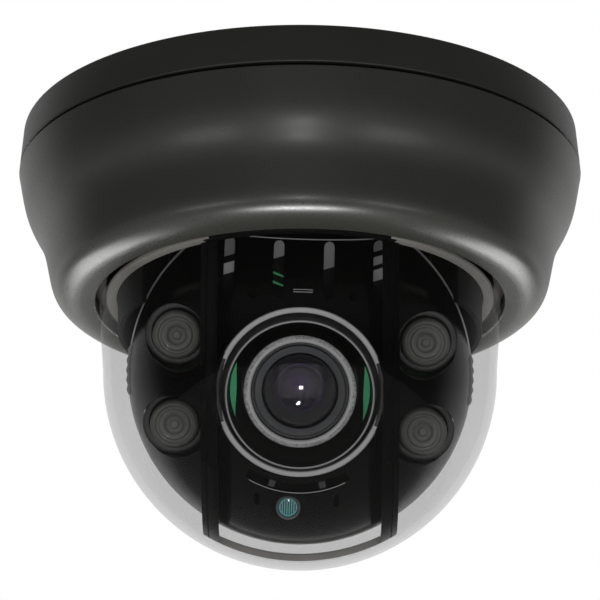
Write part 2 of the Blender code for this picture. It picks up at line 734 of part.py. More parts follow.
def make_cradle(tilt):
    bm = bmesh.new()
    back = -CRADLE_BACK
    inner = CRADLE_X - CRADLE_T
    box(bm, (-CRADLE_X, -CRADLE_HALF, back), (CRADLE_X, CRADLE_HALF, back + CRADLE_PLATE_T))
    cradle = add_object("tilt_cradle", bm, steel(), tilt)
    ears = bmesh.new()
    for side in (-1, 1):
        low, high = sorted((side * inner, side * CRADLE_X))
        # The outline's (x, y) become the frame's (y, z).
        turn = Matrix(((0, 0, 1, 0), (1, 0, 0, 0), (0, 1, 0, 0), (0, 0, 0, 1)))
        eye = arc((0, 0), PIVOT_EYE_R, 0, pi, 10)
        outline = eye + [(-PIVOT_EYE_R, back + CRADLE_PLATE_T / 2), (PIVOT_EYE_R, back + CRADLE_PLATE_T / 2)]
        prism(ears, outline, low, high, turn)
    prism(ears, circle(ROLL_BOSS_R, SMALL), back + ROUND, back + CRADLE_PLATE_T - ROUND)
    boolean(cradle, "UNION", "cradle_ear_shapes", ears, tilt)
    bores = bmesh.new()
    prism(bores, circle(PIVOT_R + GAP, 12), -2 * CRADLE_X, 2 * CRADLE_X, along_x())
    prism(bores, circle(ROLL_BORE_R + GAP, SMALL), 2 * back, back + 2 * CRADLE_PLATE_T)
    boolean(cradle, "DIFFERENCE", "cradle_bores", bores, tilt)
    for name, side in (("left", -1), ("right", 1)):
        place = (side * (CRADLE_X + 2 * GAP + ARM_T), 0, 0)
        length = ARM_T + CRADLE_T + 3 * GAP
        screw(
            f"tilt_pivot_screw_{name}", PIVOT_HEAD_R, PIVOT_R,
            PIVOT_HEAD_H, length, place, (0, side * pi / 2, 0), tilt,
        )


# Ball: everything that rolls about the lens axis


def ball_height(r):
    """Height of the ball's outer surface above its centre plane, at this distance from the lens axis."""
    return sqrt(BALL_R**2 - r**2)


def make_shell(ball):
    inner_r = BALL_R - BALL_WALL
    start = BALL_RIM / BALL_R
    outer = arc((0, 0), BALL_R, start, pi / 2, 8)
    inner = arc((0, 0), inner_r, pi / 2, start, 7)
    bm = bmesh.new()
    hollow(bm, outer, inner, FINE)
    shell = add_object("ball_shell", bm, black_plastic(), ball)
    holes = bmesh.new()
    prism(holes, circle(LENS_OPENING_R, MEDIUM), CARRIER_Z, 2 * BALL_R)
    for x, y in led_places():
        prism(holes, circle(CUP_R + GAP, SMALL, (x, y)), CARRIER_Z + CARRIER_T, 2 * BALL_R)
    for x in VENT_X:
        place = Matrix.Translation((x, (VENT_LOW + VENT_HIGH) / 2, 0)) @ rotate_z(pi / 2)
        prism(holes, round_ended(VENT_HIGH - VENT_LOW, VENT_W, 3), CARRIER_Z, 2 * BALL_R, place)
    prism(holes, circle(CELL_HOLE_R, 16, (CELL_X, CELL_Y)), CARRIER_Z, 2 * BALL_R)
    for k in (-1, 1):
        place = Matrix.Translation((k * TRIM_SLOT_X, CELL_Y + TRIM_SLOT_RISE, 0)) @ rotate_z(pi / 2)
        prism(holes, round_ended(TRIM_SLOT_LENGTH, TRIM_SLOT_W, 3), CARRIER_Z, 2 * BALL_R, place)
    low = -pi / 2 - SLOT_HALF
    high = -pi / 2 + SLOT_HALF
    far = arc((0, 0), SLOT_R + SLOT_W / 2, low, high, 10)
    near = arc((0, 0), SLOT_R - SLOT_W / 2, high, low, 10)
    prism(holes, far + near, CARRIER_Z, 2 * BALL_R)
    boolean(shell, "DIFFERENCE", "shell_hole_shapes", holes, ball)


def led_places():
    return [(x, y) for y in (LED_Y, -LED_Y) for x in (-LED_X, LED_X)]


def make_bezel(ball):
    """The stepped ring round the lens: a wide rim flush with the ball, a funnel and a narrower inner ring."""
    rim = LENS_OPENING_R - GAP
    front = ball_height(LENS_OPENING_R)
    step = front - BEZEL_STEP
    back = front - BEZEL_DEPTH
    bore = BEZEL_R - BEZEL_WALL
    outline = [(rim - BEZEL_RIM_W, front), (rim, front - ROUND), (rim, back), (bore, back), (bore, step)]
    ledge = BEZEL_R + BEZEL_LEDGE
    outline += [(ledge, step), (ledge, step - BEZEL_RING_T), (rim - BEZEL_RIM_W, step + ROUND)]
    turned("lens_bezel", outline, black_plastic(), MEDIUM, parent=ball)


def make_carrier(ball):
    """The disc inside the ball that carries lamps and lens, with the hub that turns in the cradle."""
    inner = sqrt((BALL_R - BALL_WALL) ** 2 - (CARRIER_Z + CARRIER_T) ** 2) - 2 * GAP
    shoulder = -CRADLE_BACK + CRADLE_PLATE_T + 2 * GAP + ROLL_WASHER_T
    end = -CRADLE_BACK - 2 * GAP - ROLL_CLIP_T
    wire = ROLL_BORE_R - HUB_WALL
    flange = ROLL_BORE_R + HUB_FLANGE
    top = CARRIER_Z + CARRIER_T
    outline = [(wire, top), (inner, top), (inner, CARRIER_Z), (flange, CARRIER_Z)]
    outline += [(flange, shoulder), (ROLL_BORE_R, shoulder), (ROLL_BORE_R, end), (wire, end)]
    turned("ball_carrier", outline, black_plastic(), FINE, parent=ball)
    low = -CRADLE_BACK + CRADLE_PLATE_T + GAP
    ring("roll_washer", ROLL_BORE_R + GAP, flange, low, low + ROLL_WASHER_T, rubber(), SMALL, ball)
    high = -CRADLE_BACK - GAP
    ring("roll_clip", ROLL_BORE_R + GAP, flange, high - ROLL_CLIP_T, high, steel(), SMALL, ball)


def make_grips(ball):
    """Two short toothed strips on the rim, to turn the ball by."""
    pitch = GRIP_LENGTH / GRIP_TEETH
    for name, side in (("left", -1), ("right", 1)):
        bm = bmesh.new()
        outer = []
        inner = []
        for k in range(2 * GRIP_TEETH + 1):
            turn = (k * pitch / 2 - GRIP_LENGTH / 2) / BALL_R
            height = BALL_R + GRIP_H * (1.0 if k % 2 else 0.45)
            outer.append((side * height * cos(turn), height * sin(turn)))
            foot = BALL_R - BALL_WALL / 2
            inner.append((side * foot * cos(turn), foot * sin(turn)))
        prism(bm, outer + inner[::-1], BALL_RIM + GAP, BALL_RIM + GRIP_W)
        grip = add_object(f"ball_grip_{name}", bm, black_plastic(), ball)
        core = bmesh.new()
        outline = arc((0, 0), BALL_R + TOUCH, -pi / 2, pi / 2, 24)
        spin_outline(core, [(0, outline[0][1])] + outline[1:-1] + [(0, outline[-1][1])], FINE, closed=False)
        boolean(grip, "DIFFERENCE", f"grip_seat_{name}", core, ball)


def make_lamps(ball):
    floor = CARRIER_Z + CARRIER_T
    margin = GAP + TOUCH
    outline = round_ended(2 * (LED_Y + CUP_R - margin), 2 * (CUP_R - margin), 6)
    for name, side in (("left", -1), ("right", 1)):
        bm = bmesh.new()
        place = Matrix.Translation((side * (LED_X - BOARD_T), 0, 0)) @ rotate_z(pi / 2)
        prism(bm, outline, floor + GAP, floor + GAP + BOARD_T, place)
        add_object(f"lamp_board_{name}", bm, board_green(), ball)
    seat = floor + BOARD_T + 2 * GAP
    rim = LED_FRONT - CUP_DROP
    inner = LED_R + GAP
    for k, (x, y) in enumerate(led_places()):
        outline = [(inner, rim), (inner + CUP_WALL, rim), (inner + CUP_WALL, seat), (inner, seat)]
        cup = turned(f"lamp_cup_{k + 1}", outline, black_plastic(), SMALL, parent=ball)
        cup.location = (x, y, 0)
        outline = [(0, LED_FRONT), (LED_R - LED_CROWN, LED_FRONT - ROUND)]
        outline += [(LED_R - ROUND, LED_FRONT - LED_CROWN / 2), (LED_R, LED_FRONT - LED_CROWN)]
        outline += [(LED_R, seat), (0, seat)]
        lamp = turned(f"infrared_lamp_{k + 1}", outline, clear_plastic(), SMALL, closed=False, parent=ball)
        lamp.location = (x, y, 0)


def make_cell(ball):
    surface = ball_height(hypot(CELL_X, CELL_Y))
    teal = finish("sensor teal", (0.04, 0.14, 0.15), 0.3)
    outline = [(0, surface), (CELL_R, surface), (CELL_R, surface - CELL_T), (0, surface - CELL_T)]
    cell = turned("light_sensor", outline, teal, SMALL, closed=False, parent=ball)
    cell.location = (CELL_X, CELL_Y, -CELL_SINK)


def make_lens(ball, zoom, focus):
    board = bmesh.new()
    half = SENSOR_BOARD_W / 2
    board_top = SENSOR_BOARD_Z + SENSOR_BOARD_T
    box(board, (-half, -half, SENSOR_BOARD_Z), (half, half, board_top))
    add_object("sensor_board", board, board_green(), ball)
    low = board_top + GAP
    bm = bmesh.new()
    box(bm, (-CHIP_HALF, -CHIP_HALF, low), (CHIP_HALF, CHIP_HALF, low + CHIP_T))
    add_object("image_sensor", bm, finish("sensor", (0.02, 0.02, 0.03), 0.2), ball)
    high = low + HOLDER_H
    bm = bmesh.new()
    box(bm, (-HOLDER_W / 2, -HOLDER_W / 2, low), (HOLDER_W / 2, HOLDER_W / 2, high))
    holder = add_object("lens_holder", bm, black_plastic(), ball)
    bm = bmesh.new()
    prism(bm, circle(HOLDER_BORE_R, SMALL), low - GAP, high + GAP)
    boolean(holder, "DIFFERENCE", "holder_bore", bm, ball)
    rear = high + GAP
    stack = LENS_FRONT - RINGS_DROP
    focus_low = stack - RING_T
    zoom_low = focus_low - GAP - RING_T
    core = BARREL_R - 2 * BARREL_WALL
    bore = core - BARREL_WALL
    tip = stack - GAP - ROUND
    flange = zoom_low - GAP
    outline = [(bore, tip), (core, tip), (core, flange), (BARREL_R - BARREL_WALL, flange)]
    outline += [(BARREL_R - BARREL_WALL, rear), (bore, rear)]
    turned("lens_body", outline, black_plastic(), MEDIUM, parent=ball)
    make_lens_ring("zoom", zoom, zoom_low, core, -pi / 2 - LEVER_ANGLE)
    make_lens_ring("focus", focus, focus_low, core, -pi / 2 + LEVER_ANGLE)
    low = stack + GAP
    glass_z = LENS_FRONT - GLASS_SINK
    seat = GLASS_R + GAP
    brim = BARREL_R - 2 * BARREL_WALL
    outline = [(BARREL_R - BARREL_WALL * 0.4, LENS_FRONT), (BARREL_R, LENS_FRONT - 2 * ROUND)]
    outline += [(BARREL_R, low), (bore, low), (bore, glass_z - GLASS_EDGE - 5 * ROUND)]
    outline += [(seat, glass_z), (seat, glass_z + GLASS_EDGE), (brim, LENS_FRONT - 4 * ROUND)]
    turned("lens_front_barrel", outline, silver(), MEDIUM, parent=ball)
    crown = arc((0, glass_z - GLASS_CURVE_R + GLASS_RISE), GLASS_CURVE_R, radians(90), radians(62), 4)
    foot = glass_z - GLASS_EDGE
    outline = [(0, crown[0][1])] + crown[1:] + [(crown[-1][0], foot), (0, foot)]
    turned("front_lens", outline, lens_glass(), MEDIUM, closed=False, parent=ball)
    top = rear - FILTER_SINK
    outline = [(0, top), (FILTER_R, top), (FILTER_R, top - FILTER_T), (0, top - FILTER_T)]
    turned("rear_filter", outline, lens_glass(), SMALL, closed=False, parent=ball)


def make_lens_ring(name, parent, low, core, turn):
    high = low + RING_T
    ring(f"{name}_ring", core + GAP, BARREL_R, low, high, black_plastic(), MEDIUM, parent)
    middle = (low + high) / 2
    tip = sqrt((BALL_R - BALL_WALL / 2) ** 2 - SLOT_R**2)
    foot = BARREL_R + GAP
    far = SLOT_R + LEVER_T / 2
    near = SLOT_R - LEVER_T / 2
    outline = [(foot, middle - LEVER_T / 2), (far, middle - LEVER_T / 2), (far, tip), (near, tip)]
    outline += [(near, middle + LEVER_T / 2), (foot, middle + LEVER_T / 2)]
    bm = bmesh.new()
    # The outline's (x, y) become (distance from the axis, height).
    upright = Matrix(((1, 0, 0, 0), (0, 0, -1, 0), (0, 1, 0, 0), (0, 0, 0, 1)))
    prism(bm, outline, -LEVER_T / 2, LEVER_T / 2, rotate_z(turn) @ upright)
    add_object(f"{name}_lever", bm, steel(), parent)


def main():
    clear_scene()
    make_root()
    pan = empty("pan_axis", (0, 0, 0))
    make_pan(pan)
    tilt = empty("tilt_axis", CENTRE, pan, (pi / 2 + TILT, 0, 0))
    make_cradle(tilt)
    ball = empty("roll_axis", (0, 0, 0), tilt, (0, 0, ROLL))
    make_shell(ball)
    make_bezel(ball)
    make_carrier(ball)
    make_grips(ball)
    make_lamps(ball)
    make_cell(ball)
    zoom = empty("zoom_axis", (0, 0, 0), ball)
    focus = empty("focus_axis", (0, 0, 0), ball)
    make_lens(ball, zoom, focus)


main()
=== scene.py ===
"""Ceiling dome camera: fine surfaces and finishes for the packed model.

Every piece takes its place from the model's own boxes and joints. Sizes are in metres."""

import json
from math import cos, hypot, pi, radians, sin, sqrt

import bmesh
import bpy
from mathutils import Matrix, Vector

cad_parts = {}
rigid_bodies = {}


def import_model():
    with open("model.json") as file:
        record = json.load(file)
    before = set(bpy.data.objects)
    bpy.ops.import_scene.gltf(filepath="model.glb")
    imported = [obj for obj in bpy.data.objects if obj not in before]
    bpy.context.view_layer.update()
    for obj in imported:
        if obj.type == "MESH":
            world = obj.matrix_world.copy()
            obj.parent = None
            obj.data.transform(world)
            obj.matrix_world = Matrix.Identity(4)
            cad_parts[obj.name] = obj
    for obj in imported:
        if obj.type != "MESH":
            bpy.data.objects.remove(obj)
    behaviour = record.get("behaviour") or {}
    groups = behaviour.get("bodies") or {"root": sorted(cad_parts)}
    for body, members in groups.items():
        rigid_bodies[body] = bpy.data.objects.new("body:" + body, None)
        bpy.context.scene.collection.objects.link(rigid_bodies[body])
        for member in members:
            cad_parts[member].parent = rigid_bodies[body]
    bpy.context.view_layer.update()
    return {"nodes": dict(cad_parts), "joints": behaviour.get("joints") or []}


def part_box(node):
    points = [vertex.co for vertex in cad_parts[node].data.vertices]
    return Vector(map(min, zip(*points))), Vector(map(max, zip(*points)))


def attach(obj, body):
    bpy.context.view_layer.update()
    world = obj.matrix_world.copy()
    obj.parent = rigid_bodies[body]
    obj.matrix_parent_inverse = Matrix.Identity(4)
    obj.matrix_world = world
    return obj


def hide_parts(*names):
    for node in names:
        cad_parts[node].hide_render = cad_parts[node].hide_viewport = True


bl_info = {
    "name": "Ceiling dome camera",
    "version": (1, 0, 0),
    "blender": (4, 5, 0),
    "location": "View3D > Sidebar > Dome camera",
    "description": "Builds the visible pieces of a ceiling dome camera, its floor, lights and camera",
    "category": "Object",
}

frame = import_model()

ROUND = 160  # steps of the large turned pieces
RING = 96  # steps of the lens rings
SMALL_ROUND = 48  # steps of lamps, screws and holes
GAP = 0.0003  # between pieces that rest on each other
FLOOR_DROP = 1.7
FLOOR_HALF = 6.0
HOUSING_PIECES = ("cover", "base", "seam_ring", "lock_screw")  # lit by the large lights
DARK_PIECES = ("clear_dome", "ball_face", "liner", "floor")  # lit by the room and one small lamp
# The cover's side from lip to seam, as shares of its depth and of its reach beyond the neck
COVER_SHAPE = (
    (0.0, 1.0), (0.23, 0.864), (0.35, 0.77), (0.472, 0.598), (0.60, 0.345), (0.72, 0.19), (1.0, 0.0),
)
ALONG_Y = Matrix.Rotation(pi / 2, 4, "X")


def joint(name):
    return next(entry for entry in frame["joints"] if entry["name"] == name)


def centre(node):
    low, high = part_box(node)
    return (low + high) / 2


def lens_frame():
    """Places a piece that has +Z along the lens axis, +X to the right and +Y up, from the ball's centre."""
    out = Vector(joint("roll_turn")["axis"]).normalized()
    across = centre("infrared_lamp_2") - centre("infrared_lamp_1")
    across = (across - across.project(out)).normalized()
    up = out.cross(across)
    turn = Matrix((across, up, out)).transposed().to_4x4()
    return Matrix.Translation(Vector(joint("roll_turn")["pos_m"])) @ turn


def reach(node, place=Matrix()):
    """(inner radius, outer radius, lowest z, highest z) of a CAD node about the Z axis of a place."""
    back = place.inverted()
    points = [back @ vertex.co for vertex in frame["nodes"][node].data.vertices]
    radii = [hypot(point.x, point.y) for point in points]
    heights = [point.z for point in points]
    return min(radii), max(radii), min(heights), max(heights)


LENS = lens_frame()
BALL_R = (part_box("ball_shell")[1].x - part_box("ball_shell")[0].x) / 2
BALL_CENTRE = Vector(joint("roll_turn")["pos_m"])
DOME_R = BALL_CENTRE.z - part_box("dome_bubble")[0].z


# Outlines and meshes


def arc(middle, radius, start, end, steps, squeeze=1.0):
    turns = [start + (end - start) * k / steps for k in range(steps + 1)]
    return [(middle[0] + radius * cos(t), middle[1] + radius * sin(t) * squeeze) for t in turns]


def smooth_curve(points, step, passes):
    """A curve near the points: evenly spaced along their lines, then relaxed with its two ends held."""
    curve = [Vector(points[0])]
    for start, end in zip(points, points[1:]):
        line = Vector(end) - Vector(start)
        count = max(round(line.length / step), 1)
        curve += [Vector(start) + line * k / count for k in range(1, count + 1)]
    for _ in range(passes):
        inside = [(a + 2 * b + c) / 4 for a, b, c in zip(curve, curve[1:], curve[2:])]
        curve = curve[:1] + inside + curve[-1:]
    return [tuple(point) for point in curve]


def inset_curve(curve, wall):
    """The same curve moved towards the inside by the wall."""
    inner = []
    for k, (r, z) in enumerate(curve):
        before = curve[max(k - 1, 0)]
        after = curve[min(k + 1, len(curve) - 1)]
        run = (after[0] - before[0], after[1] - before[1])
        length = hypot(*run)
        inner.append((r + wall * run[1] / length, z - wall * run[0] / length))
    return inner


def rounded(outline, radius, steps=3, closed=True):
    """The outline with each corner rounded; an open outline keeps its two ends."""
    made = []
    count = len(outline)
    for k, corner in enumerate(outline):
        if not closed and k in (0, count - 1):
            made.append(corner)
            continue
        here = Vector(corner)
        before = Vector(outline[k - 1]) - here
        after = Vector(outline[(k + 1) % count]) - here
        cut = min(radius, before.length * 0.45, after.length * 0.45)
        start = here + before.normalized() * cut
        end = here + after.normalized() * cut
        for j in range(steps + 1):
            t = j / steps
            made.append(tuple(start * (1 - t) ** 2 + here * 2 * t * (1 - t) + end * t**2))
    return made


def spin_lines(bm, lines, steps):
    """Turn lines of (r, z) points about the Z axis."""
    verts = [[bm.verts.new((r, 0, z)) for r, z in line] for line in lines]
    edges = [bm.edges.new(pair) for line in verts for pair in zip(line, line[1:])]
    points = [vert for line in verts for vert in line]
    bmesh.ops.spin(
        bm, geom=points + edges, cent=(0, 0, 0), axis=(0, 0, 1), dvec=(0, 0, 0), angle=2 * pi,
        steps=steps, use_merge=True, use_normal_flip=False, use_duplicate=False,
    )
    bmesh.ops.remove_doubles(bm, verts=bm.verts, dist=1e-6)


def turned_mesh(outline, steps, closed=True):
    bm = bmesh.new()
    spin_lines(bm, [outline + outline[:1] if closed else outline], steps)
    return bm


def prism(bm, outline, low, high, place=Matrix()):
    """A closed prism on an outline of (x, y) points, from z = low to z = high, moved by place."""
    bottom = bm.faces.new([bm.verts.new((x, y, low)) for x, y in outline])
    grown = bmesh.ops.extrude_face_region(bm, geom=[bottom])["geom"]
    top = [part for part in grown if isinstance(part, bmesh.types.BMVert)]
    bmesh.ops.translate(bm, verts=top, vec=(0, 0, high - low))
    bmesh.ops.transform(bm, verts=top + list(bottom.verts), matrix=place)


def circle(radius, steps, middle=(0, 0)):
    turns = [2 * pi * k / steps for k in range(steps)]
    return [(middle[0] + radius * cos(t), middle[1] + radius * sin(t)) for t in turns]


def round_ended(length, width, steps=8):
    """Outline of a slot along x."""
    end = (length - width) / 2
    return arc((end, 0), width / 2, -pi / 2, pi / 2, steps) + arc(
        (-end, 0), width / 2, pi / 2, 1.5 * pi, steps,
    )


def rectangle(low, high):
    return [(low[0], low[1]), (high[0], low[1]), (high[0], high[1]), (low[0], high[1])]


def rotate_z(turn):
    return Matrix.Rotation(turn, 4, "Z")


def add_piece(name, bm, finishes, body, nodes=(), place=Matrix(), smooth=32):
    """A finished piece: its place in its mesh, its faces pointing out, riding on its body."""
    bmesh.ops.transform(bm, verts=bm.verts, matrix=place)
    bmesh.ops.recalc_face_normals(bm, faces=bm.faces)
    mesh = bpy.data.meshes.new(name)
    bm.to_mesh(mesh)
    bm.free()
    for finish in finishes:
        mesh.materials.append(material(finish))
    mesh.shade_smooth()
    mesh.set_sharp_from_angle(angle=radians(smooth))
    obj = bpy.data.objects.new(name, mesh)
    bpy.context.scene.collection.objects.link(obj)
    if nodes:
        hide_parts(*nodes)
    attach(obj, body)
    return obj


def boolean(obj, bm, operation="DIFFERENCE", place=Matrix()):
    """Cut an object's mesh with a helper shape, and keep the result as its mesh."""
    bmesh.ops.transform(bm, verts=bm.verts, matrix=place)
    bmesh.ops.recalc_face_normals(bm, faces=bm.faces)
    mesh = bpy.data.meshes.new("cutter")
    bm.to_mesh(mesh)
    bm.free()
    cutter = bpy.data.objects.new("cutter", mesh)
    bpy.context.scene.collection.objects.link(cutter)
    modifier = obj.modifiers.new("cut", "BOOLEAN")
    modifier.operation = operation
    modifier.solver = "EXACT"
    modifier.object = cutter
    graph = bpy.context.evaluated_depsgraph_get()
    result = bpy.data.meshes.new_from_object(obj.evaluated_get(graph))
    obj.modifiers.clear()
    old = obj.data
    obj.data = result
    bpy.data.meshes.remove(old)
    bpy.data.objects.remove(cutter)
    bpy.data.meshes.remove(mesh)
    if not result.polygons:
        raise RuntimeError(f"nothing is left of {obj.name}")
    result.shade_smooth()
    result.set_sharp_from_angle(angle=radians(32))


def soften(obj, width, segments=2):
    """A small round on the sharp edges."""
    modifier = obj.modifiers.new("rounded edges", "BEVEL")
    modifier.width = width
    modifier.segments = segments
    modifier.limit_method = "ANGLE"
    modifier.angle_limit = radians(40)
    modifier.use_clamp_overlap = True
    modifier.harden_normals = False


def paint_zone(bm, index, test):
    """Give every face whose middle passes the test one of the piece's further materials."""
    for face in bm.faces:
        middle = face.calc_center_median()
        if test(hypot(middle.x, middle.y), middle.z, middle.x):
            face.material_index = index


# Materials


def start_material(name):
    material = bpy.data.materials.new(name)
    material.use_nodes = True
    tree = material.node_tree
    return material, tree, tree.nodes["Principled BSDF"]


def noise(tree, vector, scale, detail=3.0, roughness=0.55):
    node = tree.nodes.new("ShaderNodeTexNoise")
    node.inputs["Scale"].default_value = scale
    node.inputs["Detail"].default_value = detail
    node.inputs["Roughness"].default_value = roughness
    tree.links.new(vector, node.inputs["Vector"])
    return node.outputs["Fac"]


def spread(tree, value, low, high):
    """Map a 0.3 to 0.7 noise value to a range."""
    node = tree.nodes.new("ShaderNodeMapRange")
    node.inputs["From Min"].default_value = 0.3
    node.inputs["From Max"].default_value = 0.7
    node.inputs["To Min"].default_value = low
    node.inputs["To Max"].default_value = high
    tree.links.new(value, node.inputs["Value"])
    return node.outputs["Result"]


def blend_colours(tree, factor, first, second):
    node = tree.nodes.new("ShaderNodeMix")
    node.data_type = "RGBA"
    colours = [socket for socket in node.inputs if socket.type == "RGBA"]
    for socket, colour in zip(colours, (first, second)):
        if isinstance(colour, tuple):
            socket.default_value = (*colour, 1.0)
        else:
            tree.links.new(colour, socket)
    tree.links.new(factor, node.inputs["Factor"])
    return next(socket for socket in node.outputs if socket.type == "RGBA")


def surface(
    name, colour, roughness, metallic=0.0, grain=900.0, mottle=60.0, vary=0.12, bump=0.04, bump_depth=0.00004,
    edge_lightening=0.0, edge_colour=(0.2, 0.2, 0.2), specular=0.5, coat=0.0, stretch=(1, 1, 1),
):
    """A moulded, painted or plated finish: fine grain, uneven gloss, slow mottling and worn edges."""
    material, tree, shader = start_material(name)
    coordinates = tree.nodes.new("ShaderNodeTexCoord")
    mapping = tree.nodes.new("ShaderNodeMapping")
    mapping.inputs["Scale"].default_value = stretch
    tree.links.new(coordinates.outputs["Object"], mapping.inputs["Vector"])
    vector = mapping.outputs["Vector"]
    slow = noise(tree, vector, mottle, 4.0)
    fine = noise(tree, vector, grain, 2.0)
    darker = tuple(part * (1 - vary) for part in colour)
    lighter = tuple(min(part * (1 + vary), 1.0) for part in colour)
    shade = blend_colours(tree, spread(tree, slow, 0.0, 1.0), darker, lighter)
    # Sharp convex edges are mixed towards a lighter colour
    if edge_lightening:
        geometry = tree.nodes.new("ShaderNodeNewGeometry")
        edge = tree.nodes.new("ShaderNodeMapRange")
        edge.inputs["From Min"].default_value = 0.52
        edge.inputs["From Max"].default_value = 0.60
        edge.inputs["To Max"].default_value = edge_lightening
        tree.links.new(geometry.outputs["Pointiness"], edge.inputs["Value"])
        shade = blend_colours(tree, edge.outputs["Result"], shade, edge_colour)
    tree.links.new(shade, shader.inputs["Base Color"])
    tree.links.new(spread(tree, fine, roughness * 0.88, roughness * 1.12), shader.inputs["Roughness"])
    relief = tree.nodes.new("ShaderNodeBump")
    relief.inputs["Strength"].default_value = bump
    relief.inputs["Distance"].default_value = bump_depth
    tree.links.new(fine, relief.inputs["Height"])
    tree.links.new(relief.outputs["Normal"], shader.inputs["Normal"])
    shader.inputs["Metallic"].default_value = metallic
    shader.inputs["Specular IOR Level"].default_value = specular
    shader.inputs["Coat Weight"].default_value = coat
    shader.inputs["Coat Roughness"].default_value = 0.05
    return material


def see_through(name, colour, front, rim, roughness=0.03, ior=1.49, specular=0.5):
    """Clear moulded plastic or glass: nearly nothing face on, denser where the wall is seen edge on."""
    material, tree, shader = start_material(name)
    coordinates = tree.nodes.new("ShaderNodeTexCoord")
    haze = noise(tree, coordinates.outputs["Object"], 35.0, 4.0)
    weight = tree.nodes.new("ShaderNodeLayerWeight")
    weight.inputs["Blend"].default_value = 0.35
    density = tree.nodes.new("ShaderNodeMapRange")
    density.interpolation_type = "SMOOTHSTEP"
    density.inputs["From Min"].default_value = 0.10
    density.inputs["From Max"].default_value = 0.95
    density.inputs["To Min"].default_value = front
    density.inputs["To Max"].default_value = rim
    tree.links.new(weight.outputs["Facing"], density.inputs["Value"])
    tree.links.new(density.outputs["Result"], shader.inputs["Alpha"])
    tree.links.new(spread(tree, haze, roughness * 0.6, roughness * 1.5), shader.inputs["Roughness"])
    shader.inputs["Base Color"].default_value = (*colour, 1.0)
    shader.inputs["IOR"].default_value = ior
    shader.inputs["Specular IOR Level"].default_value = specular
    return material


MATERIALS = {}


